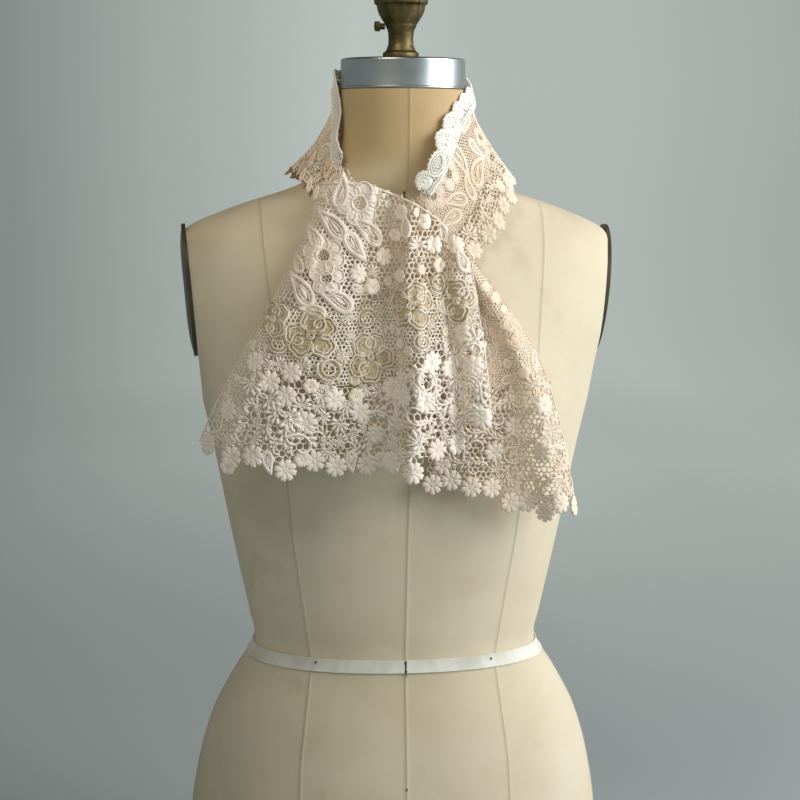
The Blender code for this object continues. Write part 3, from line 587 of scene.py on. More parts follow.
def linen_canvas():
    made, shader, where = new_material("unbleached linen canvas", {"Roughness": 0.82, "Sheen Weight": 0.08})
    uv = add_node(made, "UVMap", {})
    height = add_node(made, "SeparateXYZ", {"Vector": where}).outputs["Z"]
    ground = add_node(made, "TexNoise", {"Vector": where, "Scale": 6.0, "Detail": 5.0, "Roughness": 0.6})
    cloth = add_node(made, "ValToRGB", {"Fac": ground},
                     ((0.32, "#d0c2a4"), (0.5, "#dcceb3"), (0.68, "#e4d8c1")))
    aged = add_node(made, "ValToRGB", {"Fac": ground}, ((0.3, "#c2a577"), (0.7, "#d6bc90")))
    neck = add_node(made, "MapRange", {"Value": height, "From Min": 0.625, "From Max": 0.685},
                    interpolation_type="SMOOTHSTEP")
    colour = add_node(made, "Mix", {
        "Factor": neck, "A": cloth, "B": aged,
    }, data_type="RGBA")
    blots = add_node(made, "TexNoise", {"Vector": where, "Scale": 17.0, "Detail": 3.0})
    stain = add_node(made, "MapRange", {
        "Value": blots, "From Min": 0.62, "From Max": 0.78, "To Max": 0.35,
    })
    stained = add_node(made, "Mix", {
        "Factor": stain, "A": colour, "B": linear("#c8ad82"),
    }, data_type="RGBA", blend_type="MULTIPLY")
    # Painted shade: a darker brown is mixed into the canvas along each seam's welt, as the welt's shadow.
    seam = add_node(made, "Attribute", {}, attribute_name="seam")
    shade = add_node(made, "Math", {0: seam.outputs["Fac"], 1: 0.30}, operation="MULTIPLY")
    seam_shaded = add_node(made, "Mix", {
        "Factor": shade, "A": stained, "B": linear("#8d7852"),
    }, data_type="RGBA")
    warp, weft = (add_node(made, "TexWave", {
        "Vector": uv, "Scale": 2 * math.pi / (20 * DRAWN_THREAD), "Distortion": 1.2, "Detail": 1.0, "Detail Scale": 2.0,
    }, bands_direction=direction) for direction in ("X", "Y"))
    weave = add_node(made, "Math", {0: warp.outputs["Fac"], 1: weft.outputs["Fac"]}, operation="MAXIMUM")
    slub = add_node(made, "Mix", {
        "Factor": 0.10, "A": seam_shaded, "B": weave,
    }, data_type="RGBA", blend_type="MULTIPLY")
    bump = add_node(made, "Bump", {"Height": weave, "Strength": 0.25, "Distance": 0.2 * MM})
    set_inputs(shader, {"Base Color": slub, "Normal": bump})
    return made


def finish_piece(obj, material, slot, *nodes):
    """Gives a finished piece its one material and hides the nodes of the model that it stands for. The slot is not
    used.
    """
    obj.data.materials.clear()
    obj.data.materials.append(material)
    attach(obj, "root")
    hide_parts(*nodes)


finish_piece(body, linen_canvas(), "canvas", "form_body")

# %% [markdown]
# ## Metal parts
# The cap on the neck is spun from sheet steel and the finial is turned from cast brass: round
# parts, so each is one profile spun about its axis. The finial clamps the pole with a set screw.

# %% Spun and turned parts
def spun(name, profile, centre, steps=96):
    """A closed solid of revolution from its profile of radius and height in millimetres, bottom to top."""
    mesh = bpy.data.meshes.new(name)
    points = [(centre[0] + radius * MM, centre[1], height * MM) for radius, height in profile]
    mesh.from_pydata(points, [(i, i + 1) for i in range(len(points) - 1)], [])
    obj = new_object(name, mesh)
    edit(obj)
    bpy.ops.mesh.select_all(action="SELECT")
    bpy.ops.mesh.spin(steps=steps, angle=2 * math.pi, center=(centre[0], centre[1], 0), axis=(0, 0, 1))
    bpy.ops.mesh.select_all(action="SELECT")
    bpy.ops.mesh.remove_doubles(threshold=1e-6)
    finish_edit(35)
    return obj


def rounded(profile, steps=4):
    """The profile again with its corners cut into small arcs."""
    points = np.array(profile, float)
    out = [points[0]]
    for before, here, after in zip(points, points[1:], points[2:]):
        to_before, to_after = before - here, after - here
        reach = min(0.7, 0.3 * np.linalg.norm(to_before), 0.3 * np.linalg.norm(to_after))
        start = here + reach * to_before / np.linalg.norm(to_before)
        end = here + reach * to_after / np.linalg.norm(to_after)
        for t in np.linspace(0, 1, steps):
            out.append((1 - t) ** 2 * start + 2 * t * (1 - t) * here + t * t * end)
    return out + [points[-1]]


CAP_CENTRE = (2.4 * MM, -22 * MM)
cap = spun("steel_cap", rounded([
    (0, 725.8), (52.0, 725.8), (52.8, 726.4), (52.8, 727.6), (52.4, 728.0), (52.4, 749.2), (52.1, 750.3), (51.2, 751.1),
    (49.6, 751.3), (20, 751.5), (0, 751.5),
]), CAP_CENTRE, 128)
FINIAL_CENTRE = (0.4 * MM, -22 * MM)
finial = spun("brass_finial", rounded([
    (0, 751.6), (13, 751.6), (15, 752.4), (15.3, 754.4), (15, 756.4), (13.6, 757.2), (12.6, 758.0), (11.6, 760.5),
    (10.6, 763), (10.4, 768), (10.8, 773.5), (11.6, 776), (12.9, 778.2), (13.2, 780), (15.5, 783), (18.3, 787.5),
    (19.8, 791.5), (20.5, 795.5), (22.3, 796.6), (22.7, 798.4), (22.5, 801), (21.6, 801.8), (19.9, 802.4),
    (19.6, 805), (18.8, 808), (14.5, 814.4), (8, 818.3), (0, 819.4),
], 3), FINIAL_CENTRE, 96)

# %% [markdown]
# Brushed steel: fine rings from the polishing wheel make the light run out in a band round the cap.
# Old brass: where hands do not reach, it has gone a dull olive brown.

# %% Steel and brass
def brushed_steel():
    made, shader, where = new_material("spun and brushed steel", {"Metallic": 1.0})
    flat = add_node(made, "Mapping", {"Vector": where, "Scale": (8.0, 8.0, 900.0)})
    rings = add_node(made, "TexNoise", {"Vector": flat, "Scale": 1.0, "Detail": 3.0})
    blur = add_node(made, "TexNoise", {"Vector": where, "Scale": 22.0, "Detail": 3.0})
    colour = add_node(made, "ValToRGB", {"Fac": blur}, ((0.3, "#a2a7a9"), (0.7, "#ccd0d3")))
    rough = add_node(made, "MapRange", {"Value": rings, "To Min": 0.30, "To Max": 0.44})
    bump = add_node(made, "Bump", {"Height": rings, "Strength": 0.12, "Distance": 0.1 * MM})
    set_inputs(shader, {
        "Base Color": colour, "Roughness": rough, "Normal": bump,
    })
    return made


# The casting's split shows as a crooked dark line right of the middle, and again behind.
SPLIT_SIDE = (1.0, 0.12, 0.0)
SPLIT_PLACE = 9.0 * MM


def aged_brass():
    made, shader, where = new_material("cast brass with old patina", {"Metallic": 1.0})
    patina = add_node(made, "TexNoise", {"Vector": where, "Scale": 60.0, "Detail": 5.0, "Roughness": 0.65})
    colour = add_node(made, "ValToRGB", {"Fac": patina},
                      ((0.3, "#403926"), (0.48, "#665b3c"), (0.62, "#7d704e"), (0.75, "#9c8f6c")))
    spot = add_node(made, "VectorMath", {0: where, 1: SPLIT_SIDE}, operation="DOT_PRODUCT")
    wander = add_node(made, "TexNoise", {"Vector": where, "Scale": 90.0, "Detail": 3.0})
    crooked = add_node(made, "Math", {
        0: wander, 1: 3.5 * MM, 2: -SPLIT_PLACE - 1.75 * MM,
    }, operation="MULTIPLY_ADD")
    off = add_node(made, "Math", {0: spot, 1: crooked}, operation="ADD")
    split = add_node(made, "Math", {0: off, 1: 0.0, 2: 0.35 * MM}, operation="COMPARE")
    split_colour = add_node(made, "Mix", {
        "Factor": split, "A": colour, "B": linear("#1d1910"),
    }, data_type="RGBA")
    rough = add_node(made, "MapRange", {"Value": patina, "To Min": 0.62, "To Max": 0.42})
    grain = add_node(made, "TexNoise", {"Vector": where, "Scale": 420.0, "Detail": 2.0})
    bump = add_node(made, "Bump", {"Height": grain, "Strength": 0.15, "Distance": 0.15 * MM})
    set_inputs(shader, {
        "Base Color": split_colour, "Roughness": rough, "Normal": bump,
    })
    return made


old_brass = aged_brass()
finish_piece(cap, brushed_steel(), "cap_steel", "neck_cap")
finish_piece(finial, old_brass, "finial_brass", "finial")

# %% [markdown]
# The set screw has a square head. It is one cube, drawn out from a round shank by inset and extrude.

# %% The set screw
def join(parts):
    """Makes several objects one, which keeps the first one's name."""
    bpy.ops.object.select_all(action="DESELECT")
    for part in parts:
        part.select_set(True)
    bpy.context.view_layer.objects.active = parts[0]
    bpy.ops.object.join()
    return parts[0]


SCREW_HEIGHT, SCREW_SEAT = 778.1 * MM, -13.2 * MM
bpy.ops.object.select_all(action="DESELECT")
bpy.ops.mesh.primitive_cylinder_add(
    vertices=24, radius=2.6 * MM, depth=4.2 * MM, rotation=(0, math.pi / 2, 0),
    location=(SCREW_SEAT - 2.1 * MM, FINIAL_CENTRE[1], SCREW_HEIGHT),
)
shank = bpy.context.object
bpy.ops.mesh.primitive_cube_add(size=1, location=(SCREW_SEAT - 6.2 * MM, FINIAL_CENTRE[1], SCREW_HEIGHT))
screw = bpy.context.object
screw.name = "square_screw"
screw.scale = (4.2 * MM, 7.4 * MM, 7.4 * MM)
screw.rotation_euler.x = math.radians(12)
bpy.ops.object.transform_apply()
edit(screw)
pick(screw, lambda co: co.x < SCREW_SEAT - 8 * MM, "faces")
bpy.ops.mesh.inset(thickness=1.0 * MM)
bpy.ops.mesh.extrude_region_move(TRANSFORM_OT_translate={"value": (-0.5 * MM, 0, 0)})
finish_edit()
join((screw, shank))
bpy.ops.object.modifier_add(type="BEVEL")
screw.modifiers[-1].width, screw.modifiers[-1].segments = 0.35 * MM, 2
bpy.ops.object.modifier_apply(modifier=screw.modifiers[-1].name)
bpy.ops.object.transform_apply()
bpy.ops.object.shade_smooth_by_angle(angle=math.radians(35))
finish_piece(screw, old_brass, "screw_steel", "set_screw")

# %% [markdown]
# ## Arm plates
# A painted sheet-metal plate closes each armhole. It is an oval disc, inset and drawn out into a
# low dome with a rolled rim. Enamel paint is dark olive, with a faint mottle.

# %% Arm plates
PLATE_SIZE, PLATE_THICKNESS = (114 * MM, 80 * MM), 3 * MM
# how far each ring of the dome lies inside the last one, and how far it is lifted
PLATE_RINGS = ((1.6 * MM, 0.7 * MM), (1.8 * MM, -0.2 * MM), (6 * MM, 1.3 * MM), (9 * MM, 1.0 * MM), (10 * MM, 0.5 * MM))


def enamel():
    made, shader, where = new_material("olive stoving enamel", {"Roughness": 0.42})
    mottle = add_node(made, "TexNoise", {"Vector": where, "Scale": 45.0, "Detail": 5.0})
    colour = add_node(made, "ValToRGB", {"Fac": mottle},
                      ((0.3, "#37352a"), (0.55, "#47432f"), (0.72, "#5d573f")))
    bump = add_node(made, "Bump", {"Height": mottle, "Strength": 0.2, "Distance": 0.2 * MM})
    set_inputs(shader, {"Base Color": colour, "Normal": bump})
    return made


olive_enamel = enamel()
for side, name in ((-1, "left"), (1, "right")):
    bpy.ops.object.select_all(action="DESELECT")
    bpy.ops.mesh.primitive_circle_add(vertices=72, radius=0.5, fill_type="NGON")
    plate = bpy.context.object
    plate.name = f"arm_plate_{name}"
    plate.scale = (*PLATE_SIZE, 1)
    plate.location.z = 0.3 * MM
    bpy.ops.object.transform_apply()
    edit(plate)
    bpy.ops.mesh.select_all(action="SELECT")
    bpy.ops.mesh.extrude_region_move(TRANSFORM_OT_translate={"value": (0, 0, PLATE_THICKNESS)})
    for inset, rise in PLATE_RINGS:
        bpy.ops.mesh.inset(thickness=inset)
        bpy.ops.transform.translate(value=(0, 0, rise))
    finish_edit(50)
    lean = Matrix.Rotation(side * (math.pi / 2 + PLATE_LEAN), 4, "Y")
    plate.data.transform(Matrix.Translation((side * PLATE_CENTRE.x, PLATE_CENTRE.y, PLATE_CENTRE.z)) @ lean)
    finish_piece(plate, olive_enamel, "plate_paint", f"arm_plate_{name}")

# %% [markdown]
# ## The waist tape
# A cotton twill tape marks the waist. It is a narrow grid wrapped round the waist's outline and
# given its thickness by Solidify, and its two ends meet at the centre front under two pins.

# %% The waist tape
WAIST_HEIGHT, TAPE_WIDTH, TAPE_THICKNESS, TAPE_CLEAR = 245 * MM, 11 * MM, 0.8 * MM, 0.6 * MM
TAPE_COLUMNS, TAPE_ROWS = 400, 6
tape = new_grid("twill_tape", TAPE_COLUMNS, TAPE_ROWS)
angles = np.linspace(-math.pi / 2 + 0.004, 1.5 * math.pi - 0.004, TAPE_COLUMNS + 1)
tape_points, tape_flat = [], []
for row, share in enumerate(np.linspace(-0.5, 0.5, TAPE_ROWS + 1)):
    height = np.full(TAPE_COLUMNS + 1, WAIST_HEIGHT + share * TAPE_WIDTH)
    outline = section_point(height, angles)
    normal = outline_normals(outline)
    lift = TAPE_CLEAR + np.abs(0.25 * MM * np.sin(angles * 37) * np.sin(angles * 11 + 1))
    for end, rise in ((angles[0], 0.5 * MM), (angles[-1], 0.3 * MM)):
        lift = lift + rise * np.exp(-(((angles - end) / 0.05) ** 2))
    outline[:, :2] += lift[:, None] * normal
    run = run_along(outline)
    tape_points.append(outline)
    tape_flat.append(np.stack([run, np.full(len(run), share * TAPE_WIDTH)], axis=-1))
tape.data.vertices.foreach_set("co", np.concatenate(tape_points).ravel())
set_flat_map(tape.data, tape.data.uv_layers.active, np.concatenate(tape_flat))
bpy.ops.object.modifier_add(type="SOLIDIFY")
tape.modifiers[-1].thickness, tape.modifiers[-1].offset = TAPE_THICKNESS, 1
bpy.ops.object.modifier_apply(modifier=tape.modifiers[-1].name)
bpy.ops.object.shade_smooth_by_angle(angle=math.radians(50))


# The real ribs are near 0.7 mm apart, too fine for the picture.
DRAWN_RIB = 1.3 * MM


def cotton_twill():
    made, shader, where = new_material("bleached cotton twill", {"Roughness": 0.85})
    uv = add_node(made, "UVMap", {})
    turned = add_node(made, "Mapping", {"Vector": uv, "Rotation": (0, 0, math.radians(45))})
    ribs = add_node(made, "TexWave", {
        "Vector": turned, "Scale": 2 * math.pi / (20 * DRAWN_RIB), "Distortion": 0.6,
    })
    soil = add_node(made, "TexNoise", {"Vector": where, "Scale": 35.0, "Detail": 4.0})
    colour = add_node(made, "ValToRGB", {"Fac": soil},
                      ((0.3, "#d9d3c5"), (0.55, "#e9e6dd"), (0.75, "#f1efe8")))
    shaded = add_node(made, "Mix", {
        "Factor": 0.12, "A": colour, "B": ribs.outputs["Fac"],
    }, data_type="RGBA", blend_type="MULTIPLY")
    bump = add_node(made, "Bump", {"Height": ribs.outputs["Fac"], "Strength": 0.3, "Distance": 0.25 * MM})
    set_inputs(shader, {"Base Color": shaded, "Normal": bump})
    return made


finish_piece(tape, cotton_twill(), "tape", "waist_tape")
print("tape", round(float(tape_flat[3][-1, 0]), 4), "m long")

# %% [markdown]
# ## Pins
# Steel dressmaker's pins hold the tape and the cloth. Each is a small domed head with a short
# length of shank that shows over the canvas, modelled once at each place and joined.

# %% Pins
# x, height and how far the head stands off the canvas, in millimetres
PINS = ((-74, 247, 1.6), (74, 247, 1.6), (0, 248.5, 1.9), (0.3, 241, 1.9), (0, 143, 0.2), (-1.5, 641, 0.2))
heads = []
for x, height, standoff in PINS:
    half = form_section(height * MM)[0]
    lean = math.copysign((abs(x) * MM / half) ** (SECTION_POWER / 2), x)
    angle = 2 * math.pi - math.acos(lean)
    near = section_point(np.full(2, height * MM), np.array([angle, angle + 1e-3]))
    along = near[1] - near[0]
    outward = Vector((along[1], -along[0], 0)).normalized()
    place = Vector(near[0]) + outward * standoff * MM
    bpy.ops.object.select_all(action="DESELECT")
    bpy.ops.mesh.primitive_uv_sphere_add(segments=12, ring_count=8, radius=0.95 * MM, location=place)
    bpy.context.object.scale = (1, 1, 0.9)
    heads.append(bpy.context.object)
    bpy.ops.mesh.primitive_cone_add(
        vertices=8, radius1=0.22 * MM, radius2=0.4 * MM, depth=5 * MM, location=place - Vector((0, 0, 2.8 * MM)),
    )
    heads.append(bpy.context.object)
pins = join(heads)
pins.name = "steel_pins"
bpy.ops.object.transform_apply()
bpy.ops.object.shade_smooth_by_angle(angle=math.radians(40))


def pin_steel():
    made, shader, where = new_material("tarnished pin steel", {"Roughness": 0.45, "Metallic": 0.9})
    spots = add_node(made, "TexNoise", {"Vector": where, "Scale": 900.0, "Detail": 2.0})
    colour = add_node(made, "ValToRGB", {"Fac": spots}, ((0.35, "#2b2118"), (0.65, "#6b5f50")))
    set_inputs(shader, {"Base Color": colour})
    return made


finish_piece(pins, pin_steel(), "screw_steel")
print("pins", len(PINS))

# %% [markdown]
# ## Lace laid on a drape
# The lace is worked flat, in real millimetres, and then laid on the draped surface, as a real one
# is. A table over the flat cloth says for each place where it hangs, which way it faces and where
# it lies in its band. So a flower keeps its size and shape, and the folds bend it.

# %% A draped surface with a flat map
class Drape:
    """Tables over flat cloth: s runs to the viewer's right, t upward, both in metres."""

    def __init__(self, s, t, tables, flat_of, ends):
        self.s, self.t, self.tables, self.flat_of, self.ends = s, t, tables, flat_of, ends
        point = tables["point"]
        along_s, along_t = np.gradient(point, s, t, axis=(0, 1))
        normal = np.cross(along_s, along_t)
        tables["normal"] = normal / np.maximum(np.linalg.norm(normal, axis=-1, keepdims=True), 1e-12)
        tables["stretch"] = np.stack([np.linalg.norm(along_s, axis=-1), np.linalg.norm(along_t, axis=-1)], axis=-1)

    def read(self, name, s, t):
        """A table's value at flat places, between its four nearest entries."""
        table = self.tables[name]
        i = np.clip((s - self.s[0]) / (self.s[1] - self.s[0]), 0, len(self.s) - 1.001)
        j = np.clip((t - self.t[0]) / (self.t[1] - self.t[0]), 0, len(self.t) - 1.001)
        a, b = i.astype(int), j.astype(int)
        shape = i.shape + (1,) * (table.ndim - 2)
        f, g = (i - a).reshape(shape), (j - b).reshape(shape)
        return (
            (1 - f) * (1 - g) * table[a, b] + f * (1 - g) * table[a + 1, b]
            + (1 - f) * g * table[a, b + 1] + f * g * table[a + 1, b + 1]
        )

    def lay(self, s, t, height):
        return self.read("point", s, t) + height[..., None] * self.read("normal", s, t)


def solve_place(end, x, height):
    """The place across and along a hanging end that lies at a given x and height."""
    across, along = np.full(x.shape, 0.5), np.full(x.shape, 0.5)
    step = 1e-4
    for _ in range(9):
        here = hanging_point(end, across, along)
        by_across = (hanging_point(end, across + step, along) - here) / step
        by_along = (hanging_point(end, across, along + step) - here) / step
        off_x, off_height = x - here[..., 0], height - here[..., 1]
        scale = by_across[..., 0] * by_along[..., 1] - by_across[..., 1] * by_along[..., 0]
        scale = np.where(np.abs(scale) < 1e-6, 1e-6, scale)
        move_across = (off_x * by_along[..., 1] - off_height * by_along[..., 0]) / scale
        move_along = (off_height * by_across[..., 0] - off_x * by_across[..., 1]) / scale
        across = np.clip(across + np.clip(move_across, -0.3, 0.3), -0.3, 1.3)
        along = np.clip(along + np.clip(move_along, -0.3, 0.3), -0.2, 1.3)
    return across, along


MAP_STEP = 1.6 * MM


def hanging_drape(end, x_range, height_range, middle):
    """The flat map of a hanging end: s is measured along the cloth at each height."""
    folds, clearance, rolls = end[3:]
    x, height = np.arange(*x_range, MAP_STEP), np.arange(*height_range, MAP_STEP)
    grid_x, grid_height = np.meshgrid(x, height, indexing="ij")
    across, along = solve_place(end, grid_x, grid_height)
    off = hanging_point(end, across, along) - np.stack([grid_x, grid_height], axis=-1)
    depth = drape_front(grid_x, grid_height) + clearance + fold_relief(folds, across, along)
    for edge, roll in rolls:
        near = np.clip(1 - np.abs(across - edge) / roll["across"], 0, 1)
        depth = depth - roll["depth"] * near**2
    real = np.linalg.norm(off, axis=-1) < 0.5 * MM
    rows = real.any(axis=0)
    centre = np.interp(height, height[rows], (grid_x * real).sum(axis=0)[rows] / real.sum(axis=0)[rows])
    # Off the cloth a place is far past the side that it lies on.
    across = np.where(real, across, np.where(grid_x < centre, -9.0, 9.0))
    piece = np.hypot(np.diff(grid_x, axis=0), np.diff(depth, axis=0))
    run = np.concatenate([np.zeros((1, len(height))), np.cumsum(piece, axis=0)])
    run -= np.array([np.interp(middle, x, run[:, j]) for j in range(len(height))])
    s = np.arange(run.min(), run.max(), MAP_STEP)
    tables = {"point": np.empty((len(s), len(height), 3)), "place": np.empty((len(s), len(height), 2))}
    for j in range(len(height)):
        here = np.interp(s, run[:, j], x)
        tables["point"][:, j] = np.stack([here, -np.interp(here, x, depth[:, j]), np.full(len(s), height[j])], axis=-1)
        tables["place"][:, j] = np.stack([np.interp(here, x, across[:, j]), np.interp(here, x, along[:, j])], axis=-1)

    def flat_of(across, along):
        spot = hanging_point(end, np.atleast_1d(across), np.atleast_1d(along))
        row = (spot[:, 1] - height[0]) / MAP_STEP
        low = np.clip(row.astype(int), 0, len(height) - 2)
        under, over = (np.array([np.interp(a, x, run[:, j + k]) for a, j in zip(spot[:, 0], low)]) for k in (0, 1))
        return np.stack([under + (over - under) * (row - low), spot[:, 1]], axis=1)

    return Drape(s, height, tables, flat_of, (0.0, 1.0))


def wound_drape(surface, start, end, middle_share, longest):
    """The flat map of a stretch of the collar or edging: s runs along it, t is measured from its top."""
    fine = np.linspace(start - 0.03, end + 0.03, 500)
    line = surface(fine, np.full(500, middle_share))
    run = run_along(line)
    s = np.arange(0, run[-1], MAP_STEP)
    around = np.interp(s, run, fine)
    down = np.linspace(-0.15, 1.5, 90)
    grid_around, grid_down = np.meshgrid(around, down, indexing="ij")
    points = surface(grid_around, grid_down)
    piece = np.linalg.norm(np.diff(points, axis=1), axis=-1)
    depth = np.concatenate([np.zeros((len(s), 1)), np.cumsum(piece, axis=1)], axis=1)
    depth -= np.array([np.interp(0, down, row) for row in depth])[:, None]
    t = np.arange(-longest, 6 * MM, MAP_STEP)
    tables = {"place": np.empty((len(s), len(t), 2))}
    tables["place"][..., 0] = around[:, None]
    for i in range(len(s)):
        tables["place"][i, :, 1] = np.interp(-t, depth[i], down)
    tables["point"] = surface(tables["place"][..., 0], tables["place"][..., 1])

    def flat_of(around_at, down_at):
        at = np.interp(np.atleast_1d(around_at), fine, run)
        near = np.clip((at / MAP_STEP).round().astype(int), 0, len(s) - 1)
        deep = [-np.interp(d, down, depth[i]) for i, d in zip(near, np.broadcast_to(down_at, at.shape))]
        return np.stack([at, np.array(deep)], axis=1)

    return Drape(s, t, tables, flat_of, (start, end))

# %% [markdown]
# ## The lace maker's parts
# Guipure lace is threads alone: the cloth that it was stitched on is dissolved. What it is made of
# is a net of thin bars, cords along the lines of the drawing, and padded petals and leaves. Each
# part is a small closed mesh of points with a place, a height over the cloth and a tone, which
# says how pale its thread is drawn; in places the tone also carries painted shade.

# %% Strands, petals and nets
class Lacework:
    """Flat lace in the making. Points are s, t, height and tone, in millimetres."""

    def __init__(self, padded=()):
        """padded names the motifs that are sewn on as pieces of their own, over the ground."""
        self.points, self.quads, self.triangles, self.count = [], [], [], 0
        self.padded, self.over = padded, Lacework() if padded else None

    def add(self, points, quads=(), triangles=()):
        for kept, faces in ((self.quads, quads), (self.triangles, triangles)):
            if len(faces):
                kept.append(np.asarray(faces, int) + self.count)
        self.points.append(points)
        self.count += len(points)

    def joined(self):
        quads = np.concatenate(self.quads) if self.quads else np.empty((0, 4), int)
        triangles = np.concatenate(self.triangles) if self.triangles else np.empty((0, 3), int)
        return np.concatenate(self.points), quads, triangles


CORD_PROFILE = ((-0.5, 0.0), (0.0, -0.45), (0.5, 0.0), (0.28, 0.85), (-0.28, 0.85))
THREAD_PROFILE = ((-0.5, 0.0), (0.0, -0.7), (0.5, 0.0), (0.0, 1.0))


def strand(work, path, width, rise, closed=False, tone=0.6, base=0.0, profile=CORD_PROFILE):
    """A cord, bar or leaf along a path. Its width and its rise may change on the way."""
    path = np.asarray(path, float)
    count = len(path)
    run = np.roll(path, -1, axis=0) - np.roll(path, 1, axis=0) if closed else np.gradient(path, axis=0)
    run = run / np.maximum(np.linalg.norm(run, axis=1, keepdims=True), 1e-9)
    side = np.stack([run[:, 1], -run[:, 0]], axis=1)
    width, rise = np.broadcast_to(width, count), np.broadcast_to(rise, count)
    layers = []
    for across, up in profile:
        place = path + side * (across * width)[:, None]
        layers.append(np.column_stack([place, base + up * rise, np.full(count, tone)]))
    points = np.stack(layers, axis=1).reshape(-1, 4)
    size = len(profile)
    here = np.arange(count if closed else count - 1)
    after = (here + 1) % count
    quads = []
    for k in range(size):
        n = (k + 1) % size
        quads.append(np.stack([here * size + n, here * size + k, after * size + k, after * size + n], axis=1))
    triangles = []
    if not closed:
        last = (count - 1) * size
        for k in range(1, size - 1):
            triangles += [(0, k, k + 1), (last, last + k + 1, last + k)]
    work.add(points, np.concatenate(quads), triangles)


def dome(work, centre, radius, rise, sides=8, tone=0.8):
    """A padded dot or picot."""
    ring = circle(2 * np.pi * np.arange(sides) / sides) * radius
    layers = [
        np.column_stack([centre + ring, np.full(sides, 0.0)]),
        np.column_stack([centre + ring * 0.7, np.full(sides, 0.75 * rise)]),
    ]
    points = np.concatenate(layers + [[[*centre, rise]], [[*centre, -0.4]]])
    points = np.column_stack([points, np.full(len(points), tone)])
    here, after = np.arange(sides), (np.arange(sides) + 1) % sides
    quads = np.stack([here, after, after + sides, here + sides], axis=1)
    top = np.stack([here + sides, after + sides, np.full(sides, 2 * sides)], axis=1)
    under = np.stack([after, here, np.full(sides, 2 * sides + 1)], axis=1)
    work.add(points, quads, np.concatenate([top, under]))


def polar_piece(work, outline, levels, height, sectors, tone=0.8, middle=(0, 0), base=0.0):
    """A round motif: rings that follow an outline, with a height for each place in it."""
    angle = 2 * np.pi * np.arange(sectors) / sectors
    direction = circle(angle)
    reach = outline(angle)
    layers = []
    heights = [height(share, angle) for share in levels]
    highest = max(float(np.max(rise)) for rise in heights)
    # Painted shade: each ring's tone falls with its height, so a motif is drawn darker in its low places and between
    # its petals.
    for share, rise in zip(levels, heights):
        layers.append(np.column_stack([
            middle + direction * (reach * share)[:, None], base + rise, tone * (0.72 + 0.28 * rise / highest),
        ]))
    rim = layers[-1].copy()
    rim[:, 2] = base - 0.5
    heart = np.array([[*middle, base + float(height(0.0, angle[:1])[0]), tone], [*middle, base - 0.5, tone]])
    points = np.concatenate(layers + [rim, heart])
    here, after = np.arange(sectors), (np.arange(sectors) + 1) % sectors
    quads = []
    for k in range(len(levels)):
        low, high = k * sectors, (k + 1) * sectors
        quads.append(np.stack([here + low, here + high, after + high, after + low], axis=1))
    top = (len(levels) + 1) * sectors  # the number of the point at the heart
    triangles = np.concatenate([
        np.stack([here, after, np.full(sectors, top)], axis=1),
        np.stack([after + top - sectors, here + top - sectors, np.full(sectors, top + 1)], axis=1),
    ])
    work.add(points, np.concatenate(quads), triangles)


def honeycomb(width, height, pitch, jitter, seed):
    """A hand-made net: its corners, a little uneven, and the six corners of each cell."""
    columns, rows = int(width / pitch) + 3, int(height / (pitch * 0.866)) + 3
    i, j = np.meshgrid(np.arange(columns + 2), np.arange(rows + 2), indexing="ij")
    x = (i - 1 + 0.5 * (j % 2)) * pitch
    y = (j - 1) * pitch * math.sqrt(3) / 2
    chance = np.random.default_rng(seed)
    up = np.stack([x + 0.5 * pitch, y + pitch / math.sqrt(12)], axis=-1)
    down = np.stack([x + 0.5 * pitch, y - pitch / math.sqrt(12)], axis=-1)
    up += chance.uniform(-jitter, jitter, up.shape) * pitch
    down += chance.uniform(-jitter, jitter, down.shape) * pitch
    corners = np.concatenate([up.reshape(-1, 2), down.reshape(-1, 2)])
    size = up.shape[0] * up.shape[1]

    def number(a, b, kind):
        return a * (rows + 2) + b + kind * size

    a, b = np.meshgrid(np.arange(1, columns + 1), np.arange(1, rows + 1), indexing="ij")
    a, b = a.ravel(), b.ravel()
    odd = b % 2
    ring = np.stack([
        number(a, b, 0), number(a + odd - 1, b + 1, 1), number(a - 1, b, 0),
        number(a - 1, b, 1), number(a + odd - 1, b - 1, 0), number(a, b, 1),
    ], axis=1)
    return corners, ring


def net(work, corners, rings, bar, rise, tone):
    """Bars along the edges of the cells. Each bar has a ridge on top and one below."""
    if not len(rings):
        return
    used, place = np.unique(rings, return_inverse=True)
    rings = place.reshape(rings.shape)
    corners = corners[used]
    count, sides = rings.shape
    middles = corners[rings].mean(axis=1, keepdims=True)
    toward = middles - corners[rings]
    reach = np.linalg.norm(toward, axis=2, keepdims=True)
    inset = np.minimum(0.5 * bar / math.sin(math.radians(60)), 0.7 * reach)
    rim = (corners[rings] + toward * inset / np.maximum(reach, 1e-9)).reshape(-1, 2)
    total = len(corners)
    points = np.concatenate([
        np.column_stack([corners, np.full(total, rise)]),
        np.column_stack([corners, np.full(total, -rise)]),
        np.column_stack([rim, np.zeros(len(rim))]),
    ])
    points = np.column_stack([points, np.full(len(points), tone)])
    hole = 2 * total + np.arange(count * sides).reshape(count, sides)
    quads, edges = [], []
    for k in range(sides):
        n = (k + 1) % sides
        a, b = rings[:, k], rings[:, n]
        quads.append(np.stack([a, b, hole[:, n], hole[:, k]], axis=1))
        quads.append(np.stack([b + total, a + total, hole[:, k], hole[:, n]], axis=1))
        edges.append(np.stack([a, b], axis=1))
    edges = np.concatenate(edges)
    key = edges[:, 0] * total + edges[:, 1]
    back = edges[:, 1] * total + edges[:, 0]
    rim_edges = edges[~np.isin(key, back)]
    a, b = rim_edges.T
    quads.append(np.stack([b, a, a + total, b + total], axis=1))
    work.add(points, np.concatenate(quads))

# %% [markdown]
# ## Motifs
# A pattern of guipure is a few motifs in many places. Each is drawn once, flat, about its own
# middle: flowers with domed petals, sprigs of curling stems, drops with ladders inside, rosettes
# of scalloped cords and open flowers with a heart of net.

